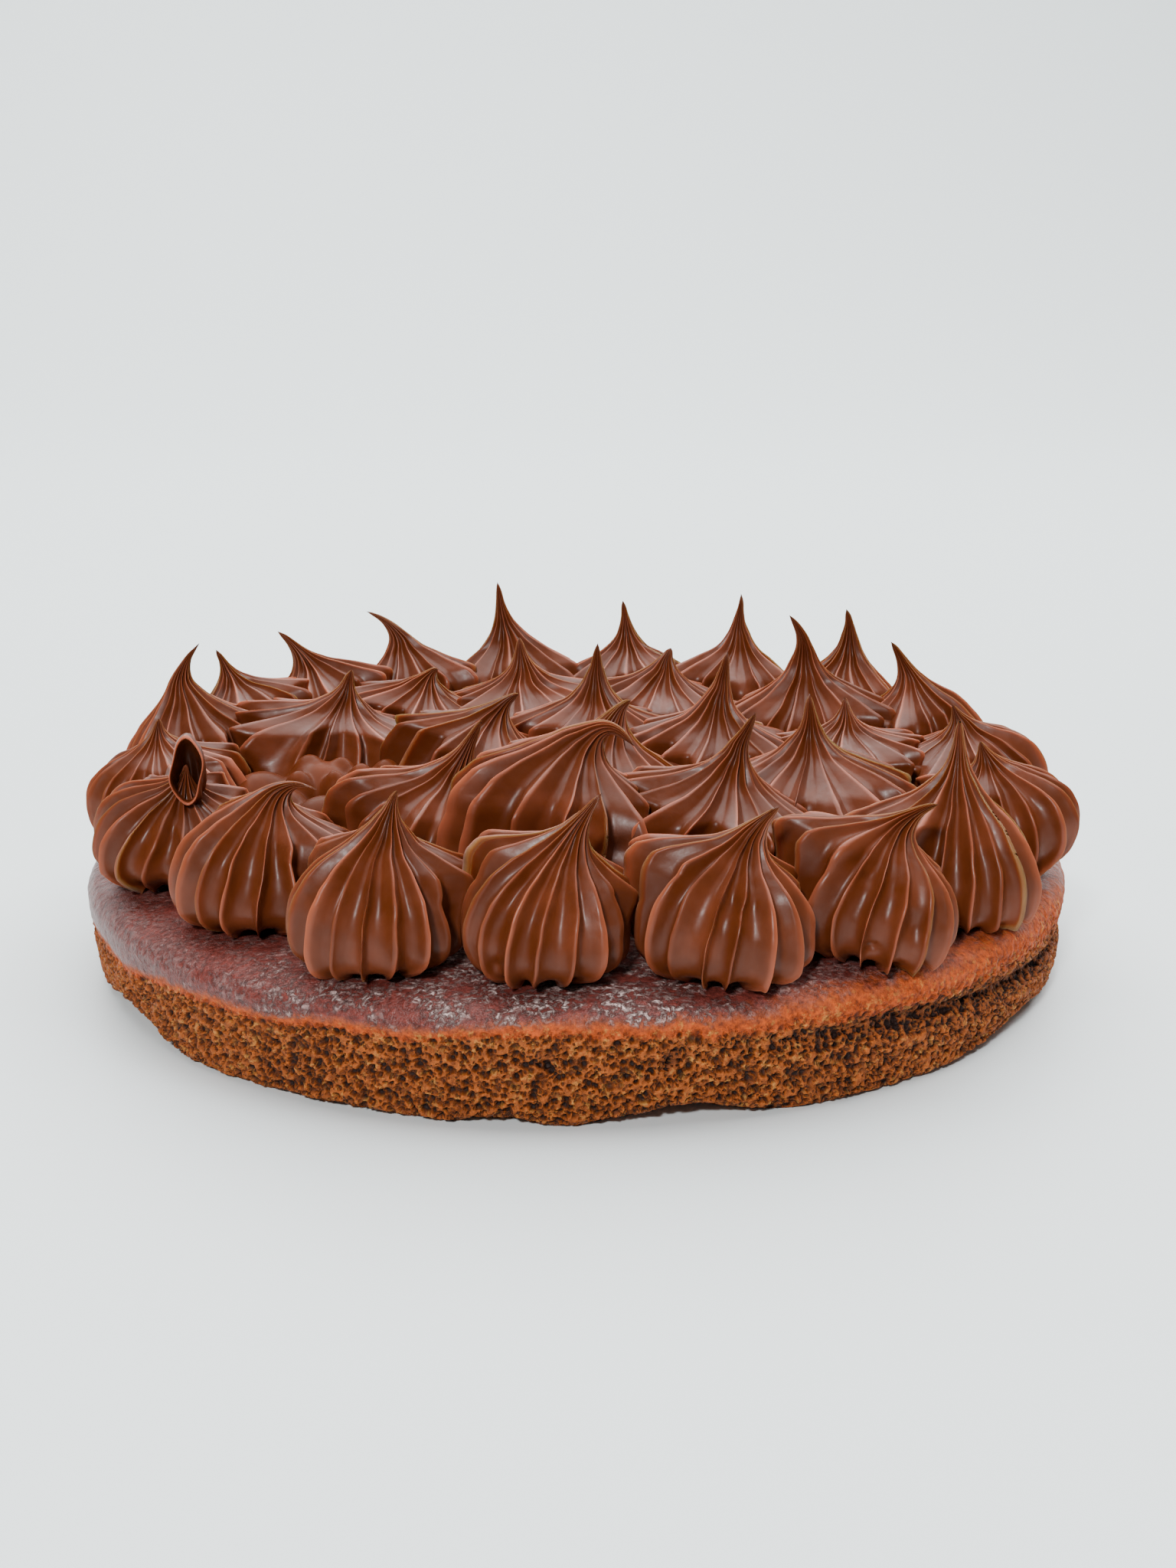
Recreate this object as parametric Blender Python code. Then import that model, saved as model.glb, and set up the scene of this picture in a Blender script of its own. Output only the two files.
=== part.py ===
"""Single-layer chocolate sponge with piped ganache kisses.

Units are metres, +Z is up, and the origin is the middle of the flat underside.
The cake is a round sponge slice with a rounded lip, a rough foot and a crease
in its side. Its top carries three rings of star-nozzle kisses, each one a
separate solid standing a hair above the sponge and just clear of its neighbours.
"""

import math
from collections import namedtuple

import bmesh
import bpy
from mathutils import Vector

MM = 0.001

# Sponge
SPONGE_RADIUS = 90.0 * MM          # at the lip
SPONGE_HEIGHT = 20.0 * MM
FOOT_RADIUS = 85.5 * MM            # flat underside
WAIST_RADIUS = 88.8 * MM           # side, just above the foot
LIP_HEIGHT = 15.0 * MM
TOP_RADIUS = 80.0 * MM             # where the flat top meets the shoulder
SPONGE_SEGMENTS = 84
EDGE_WAVE = 0.7 * MM               # uneven outline
CREASE_DEPTH = 2.0 * MM            # groove under the lip, right of the front
CREASE_HEIGHT = 11.5 * MM
CREASE_START = math.radians(-68)
CREASE_END = math.radians(2)
# Places where the ragged foot is lifted: angle and half width in degrees, lift
FOOT_NOTCHES = (
    (-150, 15, 3.2 * MM),
    (-97, 6, 0.9 * MM),
    (-79, 12, 2.4 * MM),
    (-30, 14, 1.7 * MM),
    (35, 12, 1.8 * MM),
    (85, 16, 2.2 * MM),
    (140, 12, 1.5 * MM),
)

# Kisses
RIDGES = 14                        # teeth of the star nozzle
RIDGE_DEPTH = 0.17                 # valley depth as a share of the radius
BASE_SHARE = 0.66                  # base radius as a share of the widest radius
BELLY = 0.27                       # where along the spine the kiss is widest
SKIRT_SPREAD = 0.65                # extra reach of a skirt that fills a gap
BASE_GAP = 0.3 * MM                # clearance under each kiss
SIDE_GAP = 0.32 * MM               # clearance between two kisses
BODY_LEVELS = (0.0, 0.10, 0.27, 0.46, 0.66)
SPIRE_LEVELS = (0.82, 0.93)

# x and y: middle of the base. width: across the ridges. height: of the tip.
# dx and dy: how far the tip leans. arch: how far the spine rises over a drooping
# tip. taper: 1.2 is a blunt cone, 2 is a thin drawn spire. All in millimetres.
Kiss = namedtuple("Kiss", "name x y width height dx dy arch taper swirl")

OUTER_RING = (
    Kiss("outer_kiss_01", -5.0, -73.5, 26.6, 29, 9.0, 1.0, 0, 1.3, 8),
    Kiss("outer_kiss_02", 22.5, -73.0, 27.2, 27, 8.5, 1.0, 2, 1.3, 10),
    Kiss("outer_kiss_03", 46.0, -64.0, 26.4, 24, 11.0, 1.0, 5, 1.4, 12),
    Kiss("outer_kiss_04", 62.5, -46.0, 26.6, 33, 0.5, 3.0, 0, 1.7, 4),
    Kiss("outer_kiss_05", 75.0, -22.0, 26.6, 24, -4.5, 0.0, 0, 1.4, -6),
    Kiss("outer_kiss_06", 75.0, 6.5, 27.0, 24, -5.0, 0.0, 0, 1.2, 0),
    Kiss("outer_kiss_07", 69.5, 34.0, 26.0, 30, -7.5, 0.0, 1, 1.6, 6),
    Kiss("outer_kiss_08", 56.0, 52.0, 25.0, 33, -1.0, 0.0, 5, 1.6, 0),
    Kiss("outer_kiss_09", 34.0, 67.0, 26.6, 34, 0.5, 0.0, 0, 1.8, -4),
    Kiss("outer_kiss_10", 11.5, 75.0, 26.0, 31, -2.0, 0.0, 0, 1.9, 0),
    Kiss("outer_kiss_11", -14.5, 75.0, 26.6, 35, -3.0, 0.0, 0, 2.0, 0),
    Kiss("outer_kiss_12", -36.0, 68.0, 24.0, 30, -9.0, 0.0, 4, 1.8, 6),
    Kiss("outer_kiss_13", -53.0, 57.0, 24.0, 28, -9.5, 0.0, 2, 1.5, 6),
    Kiss("outer_kiss_14", -68.0, 43.0, 24.0, 27, -5.5, 0.0, 0, 1.6, 6),
    Kiss("outer_kiss_15", -76.0, 21.5, 25.0, 33, 3.0, 0.0, 2, 1.8, 0),
    Kiss("outer_kiss_16", -77.0, -4.0, 25.6, 24, 0.5, 0.0, 0, 1.2, 0),
    Kiss("outer_kiss_17", -71.0, -27.5, 26.6, 27, 4.5, -2.0, 0, 1.2, 10),
    Kiss("outer_kiss_18", -53.0, -49.0, 26.6, 24, 10.0, 1.0, 6, 1.3, 6),
    Kiss("outer_kiss_19", -31.4, -69.0, 26.6, 28, 4.0, 1.0, 3, 1.3, 0),
)
MIDDLE_RING = (
    Kiss("middle_kiss_01", -4.0, -44.0, 34.0, 30, 13.0, 0.0, 20, 1.35, 16),
    Kiss("middle_kiss_02", 22.5, -41.0, 32.0, 34, 7.0, 0.0, 0, 1.5, 8),
    Kiss("middle_kiss_03", 41.0, -18.5, 33.0, 32, 0.0, 0.0, 0, 1.2, 0),
    Kiss("middle_kiss_04", 50.5, 8.0, 28.0, 25, -0.5, 0.0, 0, 1.2, 0),
    Kiss("middle_kiss_05", 46.0, 32.0, 30.0, 36, -4.5, 0.0, 4, 1.9, 4),
    Kiss("middle_kiss_06", 16.0, 43.5, 34.0, 27, 2.5, 0.0, 5, 1.5, 0),
    Kiss("middle_kiss_07", -11.0, 45.0, 32.0, 29, -1.0, 0.0, 0, 1.1, 4),
    Kiss("middle_kiss_08", -33.0, 42.0, 31.0, 23, 4.5, 0.0, 8, 1.2, 14),
    Kiss("middle_kiss_09", -47.5, 20.0, 38.0, 28, 4.0, 0.0, 0, 1.7, 12),
    Kiss("middle_kiss_10", -25.0, -29.5, 35.0, 30, 9.0, 0.0, 0, 1.5, 10),
)
INNER_RING = (
    Kiss("inner_kiss_01", 25.0, 6.0, 33.0, 34, 3.0, 0.0, 0, 2.0, 4),
    Kiss("inner_kiss_02", 3.0, -13.0, 34.0, 29, 6.5, 0.0, 8, 1.4, 14),
    Kiss("inner_kiss_03", -20.0, 6.5, 33.0, 26, 9.0, 0.0, 7, 1.4, 10),
    Kiss("inner_kiss_04", 3.0, 20.0, 32.0, 33, 1.0, 0.0, 0, 2.2, 0),
)
KISSES = OUTER_RING + MIDDLE_RING + INNER_RING

# A low heap of smooth blobs lies in the middle ring where no kiss was drawn up.
HEAP = Kiss("ganache_heap", -46.0, -7.0, 32.0, 12, 0, 0, 0, 1, 0)
HEAP_SEGMENTS = 24
HEAP_LEVELS = (0.0, 0.25, 0.5, 0.75, 0.92)
HEAP_LUMP = 0.13                   # lump size as a share of the heap's radius
PIPED = KISSES + (HEAP,)

CRUMB_BROWN = (0.235, 0.085, 0.030, 1.0)
GANACHE_BROWN = (0.110, 0.036, 0.020, 1.0)


def clear_scene():
    for old in list(bpy.data.objects):
        bpy.data.objects.remove(old, do_unlink=True)


def plain_material(name, colour, roughness):
    material = bpy.data.materials.new(name)
    material.use_nodes = True
    shader = material.node_tree.nodes["Principled BSDF"]
    shader.inputs["Base Color"].default_value = colour
    shader.inputs["Roughness"].default_value = roughness
    shader.inputs["Metallic"].default_value = 0.0
    return material


def stack_rings(name, rings, peak, material):
    """Join rings of points, bottom first, into one closed solid.

    A ring has as many points as the one below it, or half as many. The first
    ring is capped flat. The last is capped flat too, or meets the peak.
    """
    mesh_maker = bmesh.new()
    loops = [[mesh_maker.verts.new(point) for point in ring] for ring in rings]
    mesh_maker.faces.new(list(reversed(loops[0])))
    for lower, upper in zip(loops, loops[1:]):
        if len(lower) == len(upper):
            join_equal(mesh_maker, lower, upper)
        else:
            join_halved(mesh_maker, lower, upper)
    top = loops[-1]
    if peak is None:
        mesh_maker.faces.new(top)
    else:
        tip = mesh_maker.verts.new(peak)
        for i, corner in enumerate(top):
            mesh_maker.faces.new((corner, top[(i + 1) % len(top)], tip))
    bmesh.ops.triangulate(mesh_maker, faces=mesh_maker.faces[:])
    mesh = bpy.data.meshes.new(name)
    mesh_maker.to_mesh(mesh)
    mesh_maker.free()
    mesh.materials.append(material)
    solid = bpy.data.objects.new(name, mesh)
    bpy.context.collection.objects.link(solid)
    return solid


def join_equal(mesh_maker, lower, upper):
    count = len(lower)
    for i in range(count):
        j = (i + 1) % count
        mesh_maker.faces.new((lower[i], lower[j], upper[j], upper[i]))


def join_halved(mesh_maker, lower, upper):
    count = len(upper)
    for i in range(count):
        j = (i + 1) % count
        crest, valley, next_crest = lower[2 * i], lower[2 * i + 1], lower[2 * j]
        mesh_maker.faces.new((crest, valley, upper[i]))
        mesh_maker.faces.new((valley, upper[j], upper[i]))
        mesh_maker.faces.new((valley, next_crest, upper[j]))


def kiss_radius(kiss, v):
    """Radius across the ridges at share v of the way up the spine."""
    widest = 0.5 * kiss.width * MM
    if v < BELLY:
        return widest * (1.0 - (1.0 - BASE_SHARE) * (1.0 - v / BELLY) ** 2)
    s = (v - BELLY) / (1.0 - BELLY)
    return widest * (1.0 - s ** 1.3) ** kiss.taper


def kiss_spine(kiss, v):
    """Point and direction of the spine, a cubic curve from base to tip."""
    start = Vector((kiss.x, kiss.y, 0.0)) * MM
    start.z = SPONGE_HEIGHT + BASE_GAP
    lean = Vector((kiss.dx, kiss.dy, 0.0)) * MM
    rise = Vector((0.0, 0.0, kiss.height * MM - BASE_GAP))
    points = (
        start,
        start + rise / 3.0,
        start + rise * (2.0 / 3.0) + lean * 0.3 + Vector((0.0, 0.0, kiss.arch * MM)),
        start + rise + lean,
    )
    w = 1.0 - v
    weights = (w ** 3, 3 * w * w * v, 3 * w * v * v, v ** 3)
    place = sum((p * k for p, k in zip(points, weights)), Vector())
    slopes = (w * w, 2 * w * v, v * v)
    heading = sum(((points[i + 1] - points[i]) * slopes[i] for i in range(3)), Vector())
    return place, heading.normalized()


def neighbour_planes(kiss):
    """Upright planes that part a kiss from all the others."""
    planes = []
    for other in PIPED:
        if other is kiss:
            continue
        step = Vector((other.x - kiss.x, other.y - kiss.y, 0.0)) * MM
        distance = step.length
        bias = ((0.5 * kiss.width) ** 2 - (0.5 * other.width) ** 2) * MM * MM
        reach = 0.5 * distance + bias / (2.0 * distance) - 0.5 * SIDE_GAP
        planes.append((step / distance, reach))
    return planes


def clear_share(kiss, place, reach_out, planes):
    """Share of a radial step that keeps to this side of each parting plane."""
    foot = Vector((kiss.x, kiss.y, 0.0)) * MM
    share = 1.0
    for normal, reach in planes:
        along = normal.dot(reach_out)
        room = reach - normal.dot(place - foot)
        if along > room > 0.0:
            share = min(share, room / along)
    return share


def skirt_reach(kiss, direction, v):
    """Stretch of a skirt that runs on until it meets its neighbours.

    The outer ring's kisses do so towards the middle of the cake only.
    """
    spread = SKIRT_SPREAD * (1.0 - v) ** 2
    if kiss in OUTER_RING:
        spread *= max(0.0, -Vector((kiss.x, kiss.y, 0.0)).normalized().dot(direction))
    return 1.0 + spread


def kiss_ring(kiss, v, planes, with_valleys):
    place, heading = kiss_spine(kiss, v)
    bend = math.atan2(kiss.dy, kiss.dx)
    side = Vector((-math.sin(bend), math.cos(bend), 0.0))
    front = side.cross(heading)
    radius = kiss_radius(kiss, v)
    step = 2 if with_valleys else 1
    points = []
    for k in range(RIDGES * step):
        angle = 2.0 * math.pi * k / (RIDGES * step) + math.radians(kiss.swirl) * v
        direction = front * math.cos(angle) + side * math.sin(angle)
        reach_out = direction * radius * skirt_reach(kiss, direction, v)
        share = clear_share(kiss, place, reach_out, planes)
        if with_valleys and k % 2 == 1:
            share *= 1.0 - RIDGE_DEPTH
        points.append(place + reach_out * share)
    return points


def make_kiss(kiss, material):
    planes = neighbour_planes(kiss)
    rings = [kiss_ring(kiss, v, planes, True) for v in BODY_LEVELS]
    rings += [kiss_ring(kiss, v, planes, False) for v in SPIRE_LEVELS]
    tip = kiss_spine(kiss, 1.0)[0]
    return stack_rings(kiss.name, rings, tip, material)


def wave(angle, seed):
    """A smooth irregular wave round the cake, between about -1 and 1."""
    return (0.5 * math.sin(3 * angle + seed) + 0.3 * math.sin(7 * angle + 2.1 * seed)
            + 0.2 * math.sin(13 * angle + 3.7 * seed))


def arc_blend(angle, start, end):
    """1 in the middle of an arc of the side, falling to 0 at its ends."""
    share = (angle - start) / (end - start)
    if not 0.0 < share < 1.0:
        return 0.0
    return math.sin(math.pi * share) ** 0.5


def foot_lift(angle):
    lift = 0.0
    for centre, half_width, rise in FOOT_NOTCHES:
        off = (math.degrees(angle) - centre + 180.0) % 360.0 - 180.0
        if abs(off) < half_width:
            lift += rise * math.cos(0.5 * math.pi * off / half_width) ** 2
    return lift


def sponge_ring(radius, height, wobble, crease, lift):
    points = []
    for k in range(SPONGE_SEGMENTS):
        angle = -math.pi + 2.0 * math.pi * k / SPONGE_SEGMENTS
        r = radius + wobble * wave(angle, 1.0 + 40.0 * height)
        r -= crease * CREASE_DEPTH * arc_blend(angle, CREASE_START, CREASE_END)
        z = height + lift * foot_lift(angle)
        points.append(Vector((r * math.cos(angle), r * math.sin(angle), z)))
    return points


def make_sponge(material):
    lip = SPONGE_RADIUS
    rings = [
        sponge_ring(FOOT_RADIUS, 0.0, EDGE_WAVE, 0.0, 0.0),
        sponge_ring(WAIST_RADIUS, 1.0 * MM, EDGE_WAVE, 0.2, 1.0),
        sponge_ring(WAIST_RADIUS + 0.4 * MM, 6.0 * MM, EDGE_WAVE, 0.3, 0.3),
        sponge_ring(WAIST_RADIUS + 0.7 * MM, CREASE_HEIGHT, EDGE_WAVE, 1.0, 0.0),
        sponge_ring(lip, LIP_HEIGHT - 1.0 * MM, EDGE_WAVE, 0.0, 0.0),
        sponge_ring(lip, LIP_HEIGHT + 0.5 * MM, EDGE_WAVE, 0.0, 0.0),
        sponge_ring(lip - 1.9 * MM, LIP_HEIGHT + 3.0 * MM, EDGE_WAVE, 0.0, 0.0),
        sponge_ring(lip - 5.0 * MM, SPONGE_HEIGHT - 0.5 * MM, 0.5 * EDGE_WAVE, 0.0, 0.0),
        sponge_ring(TOP_RADIUS, SPONGE_HEIGHT, 0.0, 0.0, 0.0),
    ]
    return stack_rings("sponge", rings, None, material)


def make_heap(material):
    planes = neighbour_planes(HEAP)
    base = Vector((HEAP.x, HEAP.y, 0.0)) * MM
    base.z = SPONGE_HEIGHT + BASE_GAP
    rings = []
    for level in HEAP_LEVELS:
        radius = 0.5 * HEAP.width * MM * math.sqrt(1.0 - level ** 2)
        place = base + Vector((0.0, 0.0, HEAP.height * MM * level))
        ring = []
        for k in range(HEAP_SEGMENTS):
            angle = 2.0 * math.pi * k / HEAP_SEGMENTS
            lump = 1.0 + HEAP_LUMP * math.sin(5.0 * angle + 3.0 * level) * (0.4 + level)
            reach_out = Vector((math.cos(angle), math.sin(angle), 0.0)) * radius * lump
            ring.append(place + reach_out * clear_share(HEAP, place, reach_out, planes))
        rings.append(ring)
    peak = base + Vector((0.0, 0.0, HEAP.height * MM))
    return stack_rings(HEAP.name, rings, peak, material)


def main():
    clear_scene()
    crumb = plain_material("baked_sponge", CRUMB_BROWN, 0.85)
    ganache = plain_material("whipped_ganache", GANACHE_BROWN, 0.38)
    make_sponge(crumb)
    make_heap(ganache)
    for kiss in KISSES:
        make_kiss(kiss, ganache)


main()
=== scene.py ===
"""Chocolate sponge tart with piped ganache kisses, laid out as a Blender add-on.

The sponge is one baked layer with an open crumb at its side, a smooth skin on top
and a rough foot. Whipped ganache is piped on it through a star nozzle: an outer
ring, a middle ring and four inner kisses, with one low heap of smooth blobs.
"""

import math
from collections import namedtuple

import bmesh
import bpy
import numpy as np
from bpy.props import FloatProperty, FloatVectorProperty, IntProperty, PointerProperty
from mathutils import Matrix, Vector


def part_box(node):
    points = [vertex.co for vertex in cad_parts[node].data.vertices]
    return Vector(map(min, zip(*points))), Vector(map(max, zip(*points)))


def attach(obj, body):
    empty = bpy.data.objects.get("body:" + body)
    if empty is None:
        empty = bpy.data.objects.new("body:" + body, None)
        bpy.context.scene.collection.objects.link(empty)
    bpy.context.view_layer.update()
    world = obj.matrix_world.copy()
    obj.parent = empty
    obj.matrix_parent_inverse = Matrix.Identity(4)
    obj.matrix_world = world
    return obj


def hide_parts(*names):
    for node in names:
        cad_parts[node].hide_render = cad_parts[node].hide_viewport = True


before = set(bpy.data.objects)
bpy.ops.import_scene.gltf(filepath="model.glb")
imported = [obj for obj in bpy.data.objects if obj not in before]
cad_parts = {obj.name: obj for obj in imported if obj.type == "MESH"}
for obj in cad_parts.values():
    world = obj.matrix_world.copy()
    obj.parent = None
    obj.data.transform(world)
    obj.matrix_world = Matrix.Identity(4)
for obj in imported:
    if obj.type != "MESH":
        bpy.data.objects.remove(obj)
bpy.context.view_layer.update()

bl_info = {
    "name": "Chocolate Sponge Tart",
    "version": (1, 0, 0),
    "blender": (4, 5, 0),
    "location": "3D View > Sidebar > Tart",
    "description": "Bakes a single-layer chocolate sponge and pipes ganache kisses on it",
    "category": "Add Mesh",
}

MM = 0.001
SPONGE_RADIUS = 0.5 * (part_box("sponge")[1].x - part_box("sponge")[0].x)
SPONGE_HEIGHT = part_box("sponge")[1].z

# x and y: middle of the base. width: across the ridges. height: of the tip.
# dx and dy: how far the tip leans. arch: how far the spine rises over a drooping
# tip. shoulder: height where the body turns in to the neck. swirl: degrees that the
# ridges turn from base to tip. hook and drop: how far the drawn end curls over.
# Lengths are in millimetres.
Kiss = namedtuple("Kiss", "name x y width height dx dy arch shoulder swirl hook drop",
                  defaults=(0.0, 0.0))

OUTER_RING = (
    Kiss("outer_kiss_01", -5.0, -73.5, 26.6, 29.0, 7.5, 1.0, 0.0, 15.5, 8, 1.5, 0.0),
    Kiss("outer_kiss_02", 22.5, -73.0, 27.2, 27.0, 6.5, 1.0, 2.0, 15.5, 10, 2.0, 0.0),
    Kiss("outer_kiss_03", 46.0, -64.0, 26.4, 24.0, 8.0, 1.0, 5.0, 15.5, 12, 3.0, 0.0),
    Kiss("outer_kiss_04", 62.5, -46.0, 26.6, 33.0, 0.5, 3.0, 0.0, 15.5, 4),
    Kiss("outer_kiss_05", 75.0, -22.0, 26.6, 24.0, -4.5, 0.0, 0.0, 15.5, -6),
    Kiss("outer_kiss_06", 75.0, 6.5, 27.0, 24.0, -5.0, 0.0, 0.0, 15.5, 0),
    Kiss("outer_kiss_07", 69.5, 34.0, 26.0, 30.0, -6.5, 0.0, 1.0, 15.5, 6, -1.0, 0.0),
    Kiss("outer_kiss_08", 56.0, 52.0, 25.0, 33.0, 0.5, 0.0, 5.0, 15.5, 0, -1.5, 0.0),
    Kiss("outer_kiss_09", 34.0, 67.0, 26.6, 34.0, 0.5, 0.0, 0.0, 15.5, -4),
    Kiss("outer_kiss_10", 11.5, 75.0, 26.0, 31.0, -2.0, 0.0, 0.0, 15.5, 0),
    Kiss("outer_kiss_11", -14.5, 75.0, 26.6, 35.0, -3.0, 0.0, 0.0, 15.5, 0),
    Kiss("outer_kiss_12", -36.0, 68.0, 24.0, 30.0, -4.0, 0.0, 4.0, 15.5, 6, -5.0, 0.0),
    Kiss("outer_kiss_13", -53.0, 57.0, 24.0, 28.0, -7.0, 0.0, 2.0, 15.5, 6, -2.5, 0.0),
    Kiss("outer_kiss_14", -68.0, 43.0, 24.0, 27.0, -4.5, 0.0, 0.0, 15.5, 6, -1.0, 0.0),
    Kiss("outer_kiss_15", -76.0, 21.5, 25.0, 33.0, -2.0, 0.0, 2.0, 15.5, 0, 5.0, 0.0),
    Kiss("outer_kiss_16", -77.0, -4.0, 25.6, 24.0, 0.5, 0.0, 0.0, 15.5, 0),
    Kiss("outer_kiss_17", -71.0, -27.5, 26.6, 23.0, 4.5, -4.5, 0.0, 14.5, 10),
    Kiss("outer_kiss_18", -53.0, -49.0, 26.6, 26.5, 6.0, 1.0, 4.0, 15.5, 6, 4.5, 3.5),
    Kiss("outer_kiss_19", -31.4, -69.0, 26.6, 28.0, 4.0, 1.0, 3.0, 15.5, 0),
)
MIDDLE_RING = (
    Kiss("middle_kiss_01", -4.0, -44.0, 29.0, 30.0, 12.0, 0.0, 20.0, 20.5, 16, 1.5, 1.0),
    Kiss("middle_kiss_02", 22.5, -41.0, 32.0, 34.0, 7.0, 0.0, 0.0, 16.5, 8),
    Kiss("middle_kiss_03", 41.0, -18.5, 33.0, 32.0, 0.0, 0.0, 0.0, 15.0, 0),
    Kiss("middle_kiss_04", 50.5, 8.0, 28.0, 25.0, -0.5, 0.0, 0.0, 15.0, 0),
    Kiss("middle_kiss_05", 46.0, 32.0, 30.0, 36.0, -1.5, 0.0, 4.0, 15.0, 4, -3.0, 0.0),
    Kiss("middle_kiss_06", 16.0, 43.5, 34.0, 27.0, 2.5, 0.0, 5.0, 15.0, 0),
    Kiss("middle_kiss_07", -11.0, 45.0, 32.0, 29.0, -1.0, 0.0, 0.0, 15.0, 4),
    Kiss("middle_kiss_08", -33.0, 42.0, 31.0, 23.0, 4.5, 0.0, 8.0, 14.0, 14),
    Kiss("middle_kiss_09", -47.5, 20.0, 38.0, 28.0, 4.0, 0.0, 0.0, 15.0, 12),
    Kiss("middle_kiss_10", -25.0, -29.5, 29.0, 30.0, 9.0, 0.0, 0.0, 14.0, 10),
)
INNER_RING = (
    Kiss("inner_kiss_01", 25.0, 6.0, 33.0, 34.0, 3.0, 0.0, 0.0, 15.0, 4),
    Kiss("inner_kiss_02", 3.0, -13.0, 34.0, 29.0, 6.5, 0.0, 8.0, 15.0, 14),
    Kiss("inner_kiss_03", -20.0, 6.5, 33.0, 26.0, 9.0, 0.0, 7.0, 15.0, 10),
    Kiss("inner_kiss_04", 3.0, 20.0, 32.0, 33.0, 1.0, 0.0, 0.0, 15.0, 0),
)
KISSES = OUTER_RING + MIDDLE_RING + INNER_RING
HEAP = Kiss("ganache_heap", -46.0, -7.0, 32.0, 12.0, 0, 0, 0, 0, 0)
PIPED = KISSES + (HEAP,)

# Outline of a kiss: share of the way up, share of the full radius. The body is a low
# fat dome, and the neck is thin and hollow.
OUTLINE = (
    (0.0, 0.52), (0.04, 0.68), (0.10, 0.85), (0.18, 0.96), (0.28, 1.0), (0.38, 0.97),
    (0.48, 0.87), (0.56, 0.73), (0.62, 0.59), (0.68, 0.42), (0.76, 0.24), (0.84, 0.13),
    (0.91, 0.07), (0.97, 0.035), (1.0, 0.0),
)
SHOULDER_SHARE = 0.56              # where on the outline the body turns in to the neck
OUTER_GIRTH = 1.09                 # outer kisses are squeezed wider, until they touch
TURN_STEP = 31.0                   # degrees that the star is turned from kiss to kiss
SEED_STEP = 3.7                    # and how far apart the kisses' noise lies
# Up the same line: how much of the skirt's spread there is, how far round its sides an
# outer kiss has it, how deep the fins are, and a power that makes them wider where they
# run together. Bellies are round, and only the blades above them reach out sideways.
SKIRT = (
    (0.0, 0.50), (0.25, 0.50), (0.38, 0.55), (0.47, 0.70), (0.54, 0.9), (0.60, 0.95),
    (0.66, 0.7), (0.73, 0.35), (0.82, 0.08), (0.9, 0.0),
)
SIDE_SHARE = (
    (0.0, -0.5), (0.30, -0.35), (0.42, -0.05), (0.52, 0.2), (0.60, 0.4), (0.68, 0.45), (0.8, 0.3),
)
FIN_DEPTH = (
    (0.0, 1.3), (0.2, 1.25), (0.42, 1.65), (0.56, 2.1), (0.68, 2.5), (0.85, 3.0), (1.0, 3.0),
)
FIN_WIDTH = ((0.0, 1.0), (0.40, 0.9), (0.52, 0.6), (0.66, 0.45), (1.0, 0.45))
# Up the same line: how far the blades run out over their neighbours, in millimetres
BLADE_LAP = ((0.0, 0.0), (0.34, 0.1), (0.46, 0.8), (0.58, 1.8), (0.70, 2.6), (1.0, 2.6))
BLADE_LENGTH = (0.88, 1.10)        # shortest and longest blade, as a share of its room

# How a kiss settles
TOUCH_ROUNDING = 1.4 * MM          # how softly its sides flatten on a neighbour
CURL_SHARE = 0.3                   # share of it, at the tip, that curls over
PETAL_ARCH = 1.6 * MM              # how far each petal's foot arches off the sponge
ARCH_SHARE = 0.16                  # share of the outline, at the foot, that arches
SETTLE_HEIGHT = 11 * MM            # height up to which it follows the sponge's lip
SINK = 0.25 * MM                   # how far it sinks into the skin

# Smooth blobs of the heap: x, y, radius and height above the sponge, in millimetres
HEAP_BLOBS = (
    (-33.0, -3.0, 6.0, 14.2),
    (-41.0, -6.5, 4.6, 13.2),
    (-48.0, 1.0, 6.6, 14.4),
    (-58.5, -1.5, 6.4, 13.2),
    (-54.0, -11.0, 5.6, 13.0),
    (-45.5, -15.5, 6.2, 12.4),
    (-35.5, -13.5, 5.2, 12.6),
    (-53.0, -20.5, 5.8, 9.5),
    (-42.0, -24.0, 5.0, 8.5),
    (-50.2, 3.5, 3.8, 15.2),
    (-44.2, 3.0, 3.4, 14.8),
    (-40.2, 0.0, 3.2, 14.4),
    (-35.6, 1.5, 3.8, 14.8),
    (-37.3, -5.0, 3.0, 14.0),
    (-51.2, -4.5, 3.4, 14.2),
    (-44.6, -4.5, 3.0, 14.2),
)
HEAP_FALL = 3.4                    # how far a blob falls away from its top to its radius
HEAP_SHARPNESS = 1.8               # how sharply two blobs meet
HEAP_BED = 8.0                     # height of the bed that the blobs stand out of
HEAP_REACH = 0.80                  # how far the bed reaches, as a share of its width
HEAP_WAVE = 0.08                   # and how uneven its edge is
HEAP_RIM = 0.25                    # share of its radius over which the edge rounds down
HEAP_SINK = 0.2 * MM               # how far it sinks into the skin
HEAP_TUCK = 5.0 * MM               # how far it runs in under the kisses round it
HEAP_ROUNDING = 2.0 * MM           # how softly its edge turns there
HEAP_LAP = 8.0 * MM                # how far those kisses run down over it
HEAP_SLOPE = 0.6                   # and how steeply their flanks draw back above it
# Height above the sponge, and the tint, which is painted light: below 0 the low folds get painted shade, and
# near 1 the crowns take some of the crests' painted glow
HEAP_LIGHT_AND_SHADE = ((8.0, -0.8), (13.0, -0.2), (15.5, 0.7))
# Specular levels of the ridged kisses, and of the heap's smooth, dull surface
KISS_SHINE = 0.5
HEAP_SHINE = 0.1

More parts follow.
